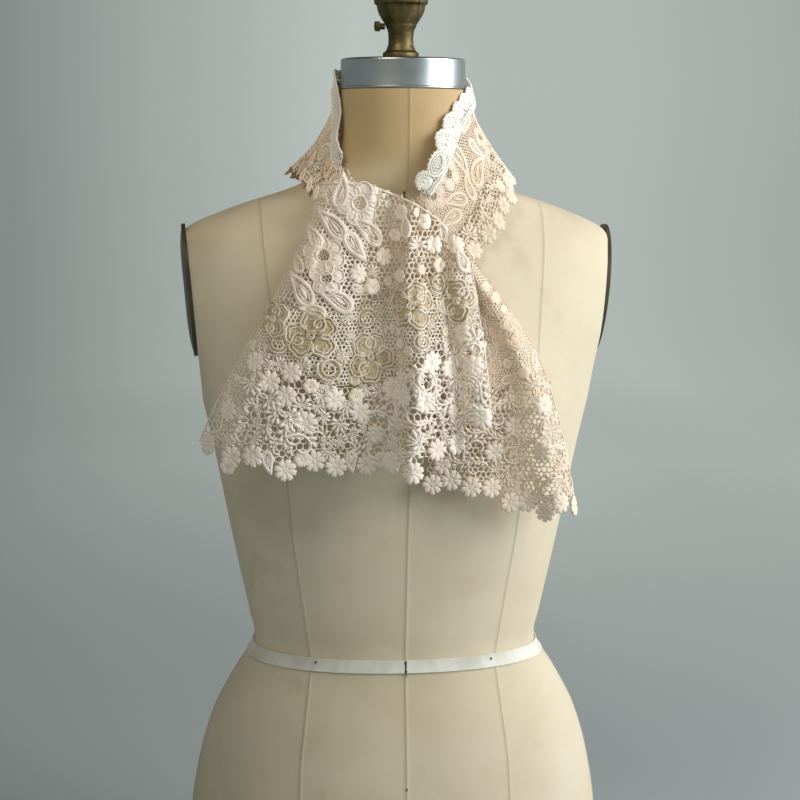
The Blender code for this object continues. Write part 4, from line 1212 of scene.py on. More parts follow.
# %% Flowers, sprigs, drops and rosettes
def flower(radius=9.6, petals=8, rise=1.5, tone=0.92, sectors=6, heart=0.17):
    """Round petals with a dent at their tips, padded high, about a knot of beads."""
    work = Lacework()
    half = math.pi / petals

    def off_middle(angle):
        return (np.mod(angle + half, 2 * half) - half) / half

    def outline(angle):
        off = np.abs(off_middle(angle))
        return radius * (0.60 + 0.40 * np.sqrt(np.clip(1 - 0.97 * off**2.6, 0, 1)) - 0.07 * (off < 0.2))

    def height(share, angle):
        petal = np.clip((share - 1.25 * heart) / (1 - 1.25 * heart), 0, 1)
        swell = np.clip(4 * petal * (1 - petal) + 0.12, 0, 1) ** 0.35
        off = np.abs(off_middle(angle))
        across = 0.50 + 0.50 * np.sqrt(np.clip(1 - off**2, 0, 1)) - 0.10 * share * (off < 0.2)
        return rise * swell * across + 0.1

    levels = (heart * 0.6, heart, 1.35 * heart, 0.45, 0.68, 0.88, 1.0)
    polar_piece(work, outline, levels, height, petals * sectors, tone)
    for spot in circle(2 * np.pi * np.arange(5) / 5) * 0.14 * radius:
        dome(work, spot, 0.115 * radius, 0.95 * rise, 6, tone)
    dome(work, (0, 0), 0.1 * radius, 1.1 * rise, 6, tone)
    return work


def walk(start, angle, step):
    """A path from its start, by steps of a given heading and length."""
    steps = circle(angle) * np.reshape(step, (-1, 1))
    return np.asarray(start) + np.concatenate([[[0, 0]], np.cumsum(steps[1:], axis=0)])


def leaf(work, start, turn, length, width, rise, tone):
    """A padded leaf: a straight strand that swells and comes to a point."""
    t = np.linspace(0, 1, 8)
    swell = np.sin(np.pi * (0.08 + 0.87 * t) ** 1.25) ** 0.8
    path = start + circle(turn) * (length * t)[:, None]
    strand(work, path, width * np.clip(swell, 0.12, 1), rise * (0.45 + 0.55 * swell), tone=tone)


def curl(work, start, turn, length, tightness, width, rise, count):
    """A stem that winds up on itself as it goes, with a bead at its end."""
    t = np.linspace(0, 1, count)
    path = walk(start, turn + tightness * t**1.6, length / (count - 1) * (1.25 - 0.5 * t))
    strand(work, path, width * (1 - 0.25 * t), rise, tone=0.85)
    dome(work, path[-1], 1.25, 1.2, 8, 0.85)
    return path


def finger(work, start, turn, length, rise=1.5, bend=0.3, tone=0.92):
    """A thin stalk with a bead for a tip."""
    path = walk(start, turn + bend * np.linspace(0, 1, 7), length / 6)
    swell = np.array([0.6, 0.6, 0.7, 0.9, 1.1, 1.1, 0.6])
    strand(work, path, (1.4, 1.4, 1.5, 2.0, 2.9, 3.1, 1.5), rise * swell, tone=tone)


def heading(path, k):
    return math.atan2(*(path[k + 1] - path[k])[::-1])


def sprig_curl():
    """A hooked stem with fingers all along its outside, like lashes."""
    work = Lacework()
    path = curl(work, (-8, -8), 0.75, 34, 4.3, 2.3, 1.7, 20)
    for k, size in zip((2, 4, 6, 8, 10, 12), (5.5, 7.0, 7.5, 7.2, 6.2, 4.8)):
        finger(work, path[k], heading(path, k) - 1.0, size, bend=0.55)
    for k, size in zip((1, 3, 5), (5.0, 5.5, 4.5)):
        finger(work, path[k], heading(path, k) + 0.9, size, bend=-0.5)
    return work


def sprig_branch():
    """A waving stem with pairs of fingers."""
    work = Lacework()
    t = np.linspace(0, 1, 16)
    path = np.stack([-12 + 24 * t, 3.4 * np.sin(4.6 * t - 0.5)], axis=1)
    strand(work, path, 2.0, 1.4, tone=0.85)
    for k, swing in ((2, 0.8), (3, -0.9), (5, 0.95), (6, -0.9), (8, 0.9), (9, -0.9), (11, 0.9), (12, -0.8)):
        finger(work, path[k], heading(path, k) + swing, 6.2, bend=-0.5 * np.sign(swing))
    finger(work, path[14], heading(path, 14), 4.5)
    return work


def sprig_fan():
    """Fingers spread from one root over two small hooks."""
    work = Lacework()
    for spread in np.linspace(-1.35, 1.35, 7):
        finger(work, circle(spread) - (4, 0), spread, 10.5 - 2.4 * abs(spread), 1.6, 0.3 * spread)
    for side in (-1, 1):
        curl(work, (-4, 0), math.pi + 0.5 * side, 13, -2.9 * side, 1.8, 1.3, 12)
    return work


def scroll():
    """A double cord that winds into a spiral."""
    work = Lacework()
    t = np.linspace(0, 1, 46)
    angle, reach = 4.2 * np.pi * t, 10.5 * (1 - t) ** 0.75 + 1.1
    path = circle(angle) * reach[:, None]
    strand(work, path, 2.3 - 0.6 * t, 2.1, tone=1.0)
    strand(work, path[:30] * (0.80 + 0.02 * t[:30, None]), 0.9, 1.2, tone=0.7)
    lead = np.stack([np.full(9, 10.6) + np.linspace(0, 2.0, 9) ** 1.4, np.linspace(0, -13, 9)], axis=1)
    strand(work, lead, 1.9, 1.8, tone=0.8)
    for k in range(1, 20, 2):
        finger(work, path[k], math.atan2(path[k][1], path[k][0]), 3.4, 1.2, 0.3, 0.75)
    return work


def tear_outline(length, width, lean, count):
    """The outline of a drop that leans over at its tip."""
    t = 2 * np.pi * np.arange(count) / count
    along = -np.cos(t)
    side = np.sin(t) * (np.clip((1 - along) / 2, 0.0, 1) ** 0.55)
    x = along * (length / 2)
    y = side * (width / 2) + lean * np.clip((along + 0.2) / 1.2, 0, 1) ** 2
    return np.stack([x, y], axis=1)


def drop(length=31, width=18, lean=5.0):
    """A drop: a padded band with a beaded edge, a ladder inside it, and a small leaf for a heart."""
    work, count = Lacework(), 44
    outer = tear_outline(length, width, lean, count)
    band = tear_outline(length * 0.90, width * 0.84, lean * 0.90, count) - (0.02 * length, 0)
    inner = tear_outline(length * 0.60, width * 0.44, lean * 0.60, count) - (0.10 * length, 0)
    beads = 1.5 + 0.9 * np.abs(np.sin(np.arange(count) * np.pi / 2.0 + 0.4))
    for path, thickness, rise in ((outer, beads, 1.3), (band, 3.0, 1.5), (inner, 1.3, 1.3)):
        strand(work, path, thickness, rise, closed=True, tone=0.88)
    for k in range(0, count, 2):
        t = np.linspace(0, 1, 3)[:, None]
        strand(work, band[k] * (1 - t) + inner[k] * t, 0.9, 0.6, tone=0.6, profile=THREAD_PROFILE)
    spine = np.linspace(-0.30 * length, 0.06 * length, 8)
    strand(work, np.stack([spine, 0 * spine], axis=1), 0.20 * width * np.sin(np.linspace(0.3, 2.9, 8)), 1.4, tone=0.88)
    return work


def lobe_outline(middle, turn, radius, ripple, count=22, sweep=2.5):
    """An arc of scalloped outline about a lobe's middle."""
    at = np.linspace(-sweep, sweep, count)
    reach = radius * (1 + ripple * np.abs(np.sin(2.5 * at)))
    return middle + circle(at + turn) * reach[:, None]


def rosette(radius=19.0, lobes=5):
    """A rose: lobes like small clouds, each with two scalloped cords on close ground, about a knot."""
    work, tone = Lacework(), 0.95
    size = radius * (0.47 if lobes > 4 else 0.52)

    def ground(share, at):
        return 0.05 + 0.3 * np.sin(7 * share) ** 2 + 0.25 * np.cos(at * 10)

    for k in range(lobes):
        at = 2 * np.pi * k / lobes + 0.18 * (-1) ** k
        near = size * (1.0 if k % 2 else 0.9)
        middle = circle(at) * (radius - near)
        polar_piece(work, lambda angle: near * 0.93 + 0 * angle, (0.35, 0.7, 1.0), ground, 20, tone * 0.58, middle,
                    0.12 * (k % 2))
        strand(work, lobe_outline(middle, at, near * 0.86, 0.20, 30), 1.8, 1.9, tone=tone)
        strand(work, lobe_outline(middle, at, near * 0.56, 0.24, 24), 1.3, 1.6, tone=tone)
        for ray in circle(at + np.linspace(-2.2, 2.2, 9)) * near:
            strand(work, [middle + ray * 0.64, middle + ray * 0.86], 0.9, 1.0, tone=tone * 0.7, profile=THREAD_PROFILE)
        for spot in circle(at + np.array([-0.9, 0.0, 0.9])) * near:
            dome(work, middle + 0.24 * spot, 1.0, 1.3, 6, tone * 0.85)
    t = np.linspace(0, 1, 18)
    strand(work, circle(3.6 * np.pi * t) * (radius * 0.17 * (1.1 - 0.85 * t))[:, None], 1.4, 2.2, tone=tone)
    for k in range(lobes):
        at = 2 * np.pi * (k + 0.5) / lobes
        finger(work, radius * 0.2 * circle(at), at, radius * 0.26, 1.7, 0.3 * (-1) ** k, tone)
    return work


def window(work, sides, pitch, jitter, seed, reach, bar, tone):
    """An oval window of fine net, cut from a piece of net with the given sides."""
    corners, rings = honeycomb(*sides, pitch, jitter, seed)
    corners = corners - np.array(sides) / 2
    inside = np.linalg.norm(corners[rings].mean(axis=1) / reach, axis=1) < 1
    net(work, corners, rings[inside], bar, 0.4, tone)


def open_flower(radius=16.0, petals=6):
    """A flower with a heart of fine net in a ring of cord, and broad padded petals about it."""
    work, tone = Lacework(), 0.88
    heart = radius * 0.36
    window(work, (16, 16), 2.6, 0.06, 5, (heart, heart), 0.9, 0.5)
    strand(work, circle(2 * np.pi * np.arange(36) / 36) * heart, 1.6, 1.6, closed=True, tone=tone)
    size = (radius - heart) * 0.60
    for k in range(petals):
        at = 2 * np.pi * k / petals
        middle = circle(at) * (radius - size)
        polar_piece(
            work, lambda angle: size * (0.90 + 0.05 * np.abs(np.sin(3 * angle))), (0.4, 0.75, 1.0),
            lambda share, angle: 0.2 + 0.8 * np.sqrt(np.clip(1 - share**2, 0.05, 1)) + 0 * angle,
            18, tone, middle, 0.15 * (k % 2),
        )
        strand(work, lobe_outline(middle, at, size, 0.07, 20, 2.3), 1.4, 1.5, tone=tone)
        leaf(work, circle(at) * (heart + 0.5), at, (radius - heart) * 0.55, 1.6, 1.9, tone)
    return work


def shell():
    """A shell for an edging: ribs that fan from its foot to a scalloped rim, over close ground."""
    work, foot = Lacework(), np.array([0, -0.5])
    rim = np.linspace(-1.75, 1.75, 37)
    reach = 8.6 * (1 + 0.07 * np.abs(np.cos(4.5 * rim * 0.98)))
    strand(work, circle(math.pi / 2 - rim) * reach[:, None] + foot, 1.7, 1.4, tone=0.9)
    strand(work, circle(math.pi / 2 - rim) * 4.0 + foot, 1.3, 1.4, tone=0.9)
    polar_piece(
        work, lambda at: 8.2 + 0 * at, (0.4, 0.7, 1.0),
        lambda share, at: 0.15 + 0.3 * np.cos(18 * at) ** 2 * (share > 0.3), 36, 0.7,
    )
    for at in math.pi / 2 - np.linspace(-1.45, 1.45, 9):
        finger(work, circle(at) * 3.2 + foot, at, 5.4, 1.6, 0, 0.95)
    for spot in circle(math.pi / 2 - np.linspace(-1.6, 1.6, 8)) * 9.3 + foot:
        dome(work, spot, 1.15, 1.2, 8, 0.95)
    dome(work, foot, 1.5, 1.8, 10, 0.9)
    return work


def eye():
    """An oval window of net in a ribbed frame, with beads along its free side."""
    work = Lacework()
    window(work, (22, 14), 2.5, 0.05, 6, (7.6, 4.2), 1.0, 0.7)
    angle = 2 * np.pi * np.arange(40) / 40
    oval = circle(angle)
    strand(work, oval * (8.0, 4.6), 1.6, 1.5, closed=True, tone=0.9)
    strand(work, oval * (10.2, 6.8), 2.0 + 0.7 * np.abs(np.sin(10 * angle)), 1.3, closed=True, tone=0.9)
    for ray in oval[::2]:
        strand(work, [ray * (8.4, 5.0), ray * (10.0, 6.6)], 1.0, 1.0, tone=0.85, profile=THREAD_PROFILE)
    for spot in circle(np.linspace(0.35, math.pi - 0.35, 8)) * (11.2, 7.9):
        dome(work, spot, 1.0, 1.0, 8, 0.95)
    return work


EDGING_MOTIFS = ("shell", "eye")
MOTIFS = {
    "flower": flower(), "flower_small": flower(6.6, 6, 1.3, 0.85, 5, 0.22), "flower_round": flower(8.4, 7, 1.4, 0.9),
    "curl": sprig_curl(), "branch": sprig_branch(), "fan": sprig_fan(), "scroll": scroll(),
    "drop": drop(), "drop_small": drop(23, 13, 3.6), "rosette": rosette(), "rosette_small": rosette(14.5, 4),
    "shell": shell(), "eye": eye(), "open_flower": open_flower(), "open_small": open_flower(12.5, 5),
}
SPREADS = {}
for title, motif in MOTIFS.items():
    flat = motif.joined()[0][:, :2]
    if title not in EDGING_MOTIFS:
        middle = 0.5 * (flat.min(axis=0) + flat.max(axis=0))
        for points in motif.points:
            points[:, :2] -= middle
    SPREADS[title] = 0.42 * float(np.ptp(flat, axis=0).max())
ROUND = ("flower", "flower_small", "flower_round", "rosette", "rosette_small", "open_flower", "open_small")
PADDED = ROUND + ("drop", "drop_small", "scroll")
print("motifs", {title: round(spread, 1) for title, spread in SPREADS.items()})

# %% [markdown]
# ## Setting motifs on the cloth
# A motif is turned, sized and set at its place in the flat cloth. Where the drape stretches the
# flat map, the motif is drawn that much smaller there, so that it keeps its real size once hung.
# The net then fills what the motifs leave open.

# %% Setting and filling
def set_motif(work, drape, title, place, turn=0.0, size=1.0, mirror=False, lift=0.35, tone=0.0, relief=1.0):
    """Adds a motif at a flat place in metres and returns the ground that it covers."""
    points, quads, triangles = MOTIFS[title].joined()
    flat = points[:, :2] * size
    if mirror:
        flat = flat * (-1, 1)
        quads, triangles = quads[:, ::-1], triangles[:, ::-1]
    cos, sin = math.cos(turn), math.sin(turn)
    flat = flat @ np.array([[cos, sin], [-sin, cos]])
    stretch = drape.read("stretch", *np.array(place))
    flat = flat / np.clip(stretch, 0.6, 1.8) + np.array(place) / MM
    height, tones = points[:, 2] * size * relief + lift, np.clip(points[:, 3] + tone, 0, 1)
    target = work.over if title in work.padded else work
    target.add(np.column_stack([flat, height, tones]), quads, triangles)
    return (*place, SPREADS[title] * size * MM, title in ROUND or title == "shell")


PLACES_TRIED = 6000


def free_places(drape, inside, spacing, seed, taken):
    """Seeded places inside a region, at least the spacing apart, off what is taken and off the cloth's sides."""
    chance = np.random.default_rng(seed)
    s = chance.uniform(drape.s[0], drape.s[-1], PLACES_TRIED)
    t = chance.uniform(drape.t[0], drape.t[-1], PLACES_TRIED)
    good = inside(s, t)
    for a, b in ((0.4, 0), (-0.4, 0), (0, 0.3), (0, -0.3)):
        across = drape.read("place", s + a * spacing, t + b * spacing)
        good &= (across[..., 0] > drape.ends[0]) & (across[..., 0] < drape.ends[1])
    found, circles = [], [(a, b, r) for a, b, r, _ in taken]
    for a, b in zip(s[good], t[good]):
        if all((a - c) ** 2 + (b - d) ** 2 > (0.5 * spacing + r) ** 2 for c, d, r in circles):
            found.append((a, b))
            circles.append((a, b, 0.5 * spacing))
    return found


NET_JITTER = 0.17


def fill_with_net(work, drape, inside, pitch, bar, rise, seed, taken, tone=0.85, cover=0.85):
    """Fills a region of the cloth with honeycomb net, apart from what the round motifs cover."""
    width, height = drape.s[-1] - drape.s[0], drape.t[-1] - drape.t[0]
    corners, rings = honeycomb(width / MM, height / MM, pitch, NET_JITTER, seed)
    corners = corners + (drape.s[0] / MM, drape.t[0] / MM)
    middles = corners[rings].mean(axis=1) * MM
    keep = inside(middles[:, 0], middles[:, 1])
    rings, middles = rings[keep], middles[keep]
    for a, b, r, solid in taken:
        if solid:
            far = (middles[:, 0] - a) ** 2 + (middles[:, 1] - b) ** 2 > (cover * r) ** 2
            rings, middles = rings[far], middles[far]
    net(work, corners, rings, bar, rise, tone)
    return len(rings)


def line_at(drape, across=None, along=None, count=80, reach=(0.0, 1.0)):
    """The flat places of a line of constant place across or along the band."""
    run = np.linspace(*reach, count)
    if across is not None:
        return drape.flat_of(np.full(count, across), run)
    return drape.flat_of(run, np.full(count, along))


HALF_WALL = 0.65 * MM


def hang(name, work, drape):
    """Lays the flat lace on the drape and makes it a mesh, with its flat map as UV and its tones."""
    points, quads, triangles = work.joined()
    placed = drape.lay(points[:, 0] * MM, points[:, 1] * MM, points[:, 2] * MM + HALF_WALL)
    mesh = bpy.data.meshes.new(name)
    mesh.from_pydata(placed, [], quads.tolist() + triangles.tolist())
    mesh.attributes.new("tone", "FLOAT", "POINT").data.foreach_set("value", points[:, 3])
    set_flat_map(mesh, mesh.uv_layers.new(name="flat"), points[:, :2] * MM)
    mesh.shade_smooth()
    obj = new_object(name, mesh)
    print(name, "triangles", 2 * len(quads) + len(triangles))
    return obj

# %% [markdown]
# Cotton thread that has aged: matt, soft at its edges, and whiter in its padded motifs than in the
# bars of the net. Within a round motif the tone falls from its high places to its low ones, as painted
# shade. Its twist shows as fine lines a good 0.6 mm apart. The tone that each motif was given mixes
# the two colours.

# %% Cotton threads
def cotton_thread(name, deep, pale, stain):
    made, shader, where = new_material(name, {"Roughness": 0.88, "Sheen Weight": 0.12, "Sheen Roughness": 0.5})
    tone = add_node(made, "Attribute", {}, attribute_name="tone").outputs["Fac"]
    wear = add_node(made, "TexNoise", {"Vector": where, "Scale": 28.0, "Detail": 4.0})
    swing = add_node(made, "MapRange", {
        "Value": wear, "From Min": 0.25, "From Max": 0.75, "To Min": -0.22, "To Max": 0.22,
    })
    mixed = add_node(made, "Math", {0: tone, 1: swing}, operation="ADD", use_clamp=True)
    colour = add_node(made, "ValToRGB", {"Fac": mixed}, ((0.1, deep), (0.55, stain), (0.95, pale)))
    uv = add_node(made, "UVMap", {}, uv_map="flat")
    twist = add_node(made, "TexNoise", {"Vector": uv, "Scale": 1 / (0.6 * MM), "Detail": 2.0})
    bump = add_node(made, "Bump", {"Height": twist, "Strength": 0.55, "Distance": 0.3 * MM})
    set_inputs(shader, {"Base Color": colour, "Normal": bump})
    return made


ivory_thread = cotton_thread("ivory cotton thread", "#dbc5ab", "#f4e9dd", "#ecdac6")
beige_thread = cotton_thread("beige linen thread", "#b3a483", "#efe5d5", "#cdbd9f")
cream_thread = cotton_thread("cream cotton thread", "#d9c0a1", "#f2e2cf", "#e8d0b5")
white_thread = cotton_thread("white cotton thread", "#ddd6c8", "#f8f5ee", "#efeae0")

# %% [markdown]
# ## The bib
# The front end is three bands: a panel of drops at the throat, a band of beige rosettes, and a
# deep border of flowers. The main motifs go where the photograph shows motifs of that kind, and
# seeded ones fill what is left.

# %% The bib's drape and its places
def region(drape, along, across=(0.0, 1.0)):
    """A test of whether flat places lie in a band."""
    def inside(s, t):
        place = drape.read("place", s, t)
        return (
            (place[..., 0] > across[0]) & (place[..., 0] < across[1])
            & (place[..., 1] > along[0]) & (place[..., 1] < along[1])
        )
    return inside


def set_all(work, drape, rows, tone=0.0, relief=1.0):
    """Sets motifs from rows of title, across, along, turn in degrees and size."""
    return [set_motif(
        work, drape, title, drape.flat_of(across, along)[0], math.radians(turn), size, tone=tone, relief=relief,
    ) for title, across, along, turn, size in rows]


def scatter(work, drape, inside, titles, spacing, seed, taken, size, tone=0.0, relief=1.0):
    """Sets motifs of some kinds at seeded free places, turned at random."""
    chance = np.random.default_rng(seed)
    placed = []
    for place in free_places(drape, inside, spacing, seed, taken):
        title = titles[chance.integers(len(titles))]
        placed.append(set_motif(
            work, drape, title, place, chance.uniform(0, 2 * math.pi), chance.uniform(*size),
            mirror=bool(chance.integers(2)), tone=tone + chance.uniform(-0.1, 0.1), relief=relief,
        ))
    return placed


# Fine gathers fan out from the throat, between the deep folds that the model has too.
BIB_GATHERS = (
    (0.40, 0.33, 0.030, 3.5 * MM, 1.5 * MM), (0.46, 0.42, 0.022, 4.0 * MM, 2.0 * MM),
    (0.57, 0.57, 0.022, 4.5 * MM, 2.5 * MM), (0.62, 0.63, 0.020, 4.5 * MM, 2.0 * MM),
    (0.69, 0.69, 0.020, 4.0 * MM, 2.0 * MM), (0.75, 0.84, 0.022, 4.5 * MM, 3.0 * MM),
    (0.81, 0.90, 0.020, 4.0 * MM, 2.0 * MM), (0.86, 0.94, 0.018, 4.0 * MM, 2.0 * MM),
    (0.96, 0.99, 0.018, 4.0 * MM, 2.0 * MM), (0.12, 0.09, 0.030, 2.0 * MM, 4.0 * MM),
    (0.60, 0.69, 0.042, 6.5 * MM, 10.0 * MM), (0.515, 0.535, 0.038, -2.5 * MM, -3.0 * MM),
)
BIB = (BIB_LINES, BIB_ACROSS, BIB_ALONG, BIB_FOLDS + BIB_GATHERS, BIB_CLEARANCE - 2 * MM, ((0.0, BIB_EDGE_ROLL),))
bib = hanging_drape(BIB, (-210 * MM, 105 * MM), (396 * MM, 668 * MM), -30 * MM)
# half the gap at a seam, as a share of the length, and where the cords lie along the bib's sides
SEAM_SHARE, CORD_ACROSS = 0.002, (0.006, 0.994)


def dress(name, work, drape, finish, node, along, across=(0.0, 1.0)):
    band = hang(f"{name}_lace", work, drape)
    motifs = hang(f"{name}_motifs", work.over, drape)
    for piece in (band, motifs):
        finish_piece(piece, *finish, node)
    spots = np.argwhere(region(drape, along, across)(*np.meshgrid(drape.s, drape.t, indexing="ij")))


def edge_cord(work, drape, width=1.3, rise=0.9, **line):
    """A cord sewn along a line of the cloth."""
    strand(work, line_at(drape, **line) / MM, width, rise, tone=0.75, base=0.3)


IVORY = (ivory_thread, "ivory_lace")
panel = Lacework(PADDED)
taken = set_all(panel, bib, (
    ("open_flower", 0.335, 0.065, 10, 1.12), ("open_flower", 0.175, 0.222, 40, 1.08),
    ("open_small", 0.225, 0.282, 15, 1.15), ("drop", 0.185, 0.125, 122, 1.05), ("drop", 0.105, 0.318, 112, 1.08),
    ("drop", 0.285, 0.338, 140, 1.05), ("drop", 0.405, 0.150, 128, 1.05), ("drop_small", 0.345, 0.205, 290, 1.25),
    ("drop_small", 0.075, 0.165, 105, 1.15), ("drop_small", 0.205, 0.030, 70, 1.25),
    ("flower_round", 0.42, 0.030, 0, 0.9), ("drop_small", 0.03, 0.245, 110, 1.0),
    ("flower_round", 0.385, 0.285, 0, 0.95), ("flower_small", 0.46, 0.335, 0, 1.1),
    ("drop_small", 0.19, 0.375, 160, 0.95), ("flower_round", 0.506, 0.250, 0, 1.0),
    ("flower_small", 0.555, 0.175, 0, 1.1), ("flower_small", 0.565, 0.07, 0, 1.1), ("fan", 0.655, 0.225, 96, 1.0),
    ("drop_small", 0.60, 0.13, 85, 0.9), ("flower_round", 0.748, 0.215, 0, 1.05),
    ("flower_round", 0.870, 0.130, 0, 1.05), ("flower_small", 0.69, 0.08, 0, 1.1),
    ("flower_small", 0.80, 0.33, 0, 1.1), ("drop_small", 0.93, 0.26, 100, 0.95), ("drop_small", 0.80, 0.06, 95, 0.85),
    ("flower_small", 0.60, 0.33, 0, 1.0),
))
inside = region(bib, (0.03, 0.37), (0.03, 0.45))
taken += scatter(panel, bib, inside, ("drop_small", "fan"), 10 * MM, 11, taken, (0.6, 0.8))
inside = region(bib, (0.03, 0.36), (0.03, 0.42))
taken += scatter(panel, bib, inside, ("flower_small", "fan"), 8 * MM, 12, taken, (0.55, 0.8))
# Painted shade: the right of the panel, below the throat, is worked darker, partly for its beige thread and partly as
# the shade of the gathers there.
inside = region(bib, (0.03, 0.36), (0.42, 0.97))
taken += scatter(panel, bib, inside, ("flower_small", "fan"), 11 * MM, 14, taken, (0.55, 0.75), tone=-0.3)
PANEL = (0.0, BIB_SEAMS[0] - SEAM_SHARE)
cells = fill_with_net(panel, bib, region(bib, PANEL, (0.004, 0.43)), 3.9, 1.6, 0.5, 13, taken)
# Painted shade: the net here is darker, partly beige thread and partly the shade of the gathers.
cells += fill_with_net(panel, bib, region(bib, PANEL, (0.42, 0.996)), 4.8, 1.6, 0.5, 15, taken, tone=0.5)
edge_cord(panel, bib, along=0.004, width=1.9)
for across in CORD_ACROSS:
    edge_cord(panel, bib, across=across, reach=(0.0, BIB_SEAMS[0]))
dress("bib_panel", panel, bib, IVORY, "bib_paisley_panel", (0.0, BIB_SEAMS[0]))
print("cells in the panel's net", cells)

# %% [markdown]
# Five rosettes of wound cord lie on a close net, with scrolls where they leave room.

# %% The rosette band
rosettes = Lacework(PADDED)
taken = set_all(rosettes, bib, (
    ("rosette", 0.215, 0.468, 20, 1.15), ("rosette", 0.475, 0.530, 60, 1.1), ("rosette", 0.655, 0.445, 5, 1.1),
    ("rosette_small", 0.895, 0.515, 10, 1.25), ("rosette_small", 0.045, 0.47, 30, 1.1),
    ("scroll", 0.315, 0.575, 150, 0.9), ("scroll", 0.45, 0.425, 30, 0.75), ("scroll", 0.80, 0.42, 200, 0.8),
    ("scroll", 0.70, 0.575, 100, 0.7), ("scroll", 0.10, 0.575, 200, 0.7),
), tone=-0.15)
inside = region(bib, (0.40, 0.60), (0.02, 0.98))
taken += scatter(rosettes, bib, inside, ("flower_small", "fan"), 10 * MM, 21, taken, (0.6, 0.8))
inside = region(bib, (BIB_SEAMS[0] + SEAM_SHARE, BIB_SEAMS[1] - SEAM_SHARE), (0.004, 0.996))
fill_with_net(rosettes, bib, inside, 3.3, 1.5, 0.45, 22, taken, tone=1.0)
for across in CORD_ACROSS:
    edge_cord(rosettes, bib, across=across, reach=BIB_SEAMS)
BEIGE = (beige_thread, "beige_lace")
dress("bib_rosette", rosettes, bib, BEIGE, "bib_rosette_band", BIB_SEAMS)

# %% [markdown]
# The border ends in flowers and not in a straight hem, and stems curl through the net above them.

# %% The flower border
border = Lacework(PADDED)
HEM_FLOWERS = (0.035, 0.126, 0.190, 0.310, 0.385, 0.457, 0.555, 0.640, 0.705, 0.789, 0.870, 0.965)
taken = set_all(border, bib, tuple(
    ("flower", across, 0.995 + 0.022 * math.sin(2.6 * k), 25 * k, 0.98) for k, across in enumerate(HEM_FLOWERS)
) + (
    ("flower", 0.055, 0.675, 0, 0.95), ("flower", 0.130, 0.703, 10, 1.0), ("flower", 0.185, 0.640, 0, 0.95),
    ("flower", 0.205, 0.722, 20, 0.95), ("flower", 0.052, 0.843, 0, 1.0), ("flower", 0.306, 0.803, 5, 1.0),
    ("flower", 0.365, 0.680, 0, 1.0), ("flower", 0.592, 0.672, 12, 1.0), ("flower", 0.744, 0.668, 0, 1.0),
    ("flower", 0.641, 0.735, 0, 0.9), ("flower", 0.723, 0.790, 8, 1.0), ("flower_round", 0.905, 0.64, 0, 1.0),
    ("flower", 0.936, 0.773, 0, 0.95), ("flower", 0.475, 0.735, 0, 0.95), ("flower", 0.56, 0.86, 0, 0.9),
    ("flower", 0.83, 0.73, 0, 0.9), ("flower_small", 0.27, 0.655, 0, 1.0), ("flower_small", 0.44, 0.655, 0, 1.0),
    ("flower_small", 0.85, 0.885, 0, 1.0), ("flower_small", 0.128, 1.045, 0, 1.1),
    ("drop_small", 0.245, 0.99, 270, 0.8), ("drop_small", 0.50, 0.985, 265, 0.8),
    ("flower_small", 0.345, 0.965, 0, 1.1), ("flower_small", 0.60, 0.975, 0, 1.1), ("curl", 0.115, 0.90, 150, 0.9),
    ("curl", 0.125, 0.80, 40, 0.8), ("curl", 0.215, 0.865, 200, 0.9), ("fan", 0.27, 0.74, 80, 0.9),
    ("curl", 0.375, 0.865, 20, 0.95), ("curl", 0.27, 0.92, 60, 0.85), ("fan", 0.42, 0.79, 250, 0.9),
    ("branch", 0.51, 0.80, 80, 0.85), ("curl", 0.49, 0.925, 0, 0.9), ("curl", 0.64, 0.86, 120, 0.9),
    ("curl", 0.785, 0.865, 40, 0.85), ("fan", 0.66, 0.95, 90, 0.7), ("branch", 0.90, 0.86, 100, 0.8),
    ("curl", 0.03, 0.75, 90, 0.8), ("curl", 0.045, 0.925, 300, 0.8), ("curl", 0.83, 0.95, 220, 0.75),
    ("curl", 0.80, 0.64, 30, 0.75), ("fan", 0.53, 0.655, 120, 0.8),
))
inside = region(bib, (0.64, 0.97), (0.03, 0.97))
taken += scatter(border, bib, inside, ("curl", "branch", "fan", "curl"), 9.5 * MM, 31, taken, (1.0, 1.2), 0.1, 1.25)
inside = region(bib, (0.63, 0.97), (0.02, 0.98))
taken += scatter(border, bib, inside, ("fan",), 7 * MM, 33, taken, (0.6, 0.8), 0.1)
inside = region(bib, (BIB_SEAMS[1] + SEAM_SHARE, 0.985), (0.004, 0.996))
fill_with_net(border, bib, inside, 5.7, 1.35, 0.55, 32, taken)
for across in CORD_ACROSS:
    edge_cord(border, bib, across=across, reach=(BIB_SEAMS[1], 1.0))
dress("bib_flower", border, bib, IVORY, "bib_flower_border", (BIB_SEAMS[1], 1.0))

# %% [markdown]
# ## The tail
# The other end hangs closer to the form. It is worked in the same two kinds of band, in a warmer
# thread, and its hem has its own flowers.

# %% The tail's drape and its bands
TAIL = (TAIL_LINES, TAIL_ACROSS, TAIL_ALONG, TAIL_FOLDS, TAIL_CLEARANCE, ((1.0, TAIL_EDGE_ROLL),))
tail = hanging_drape(TAIL, (-15 * MM, 175 * MM), (358 * MM, 600 * MM), 60 * MM)

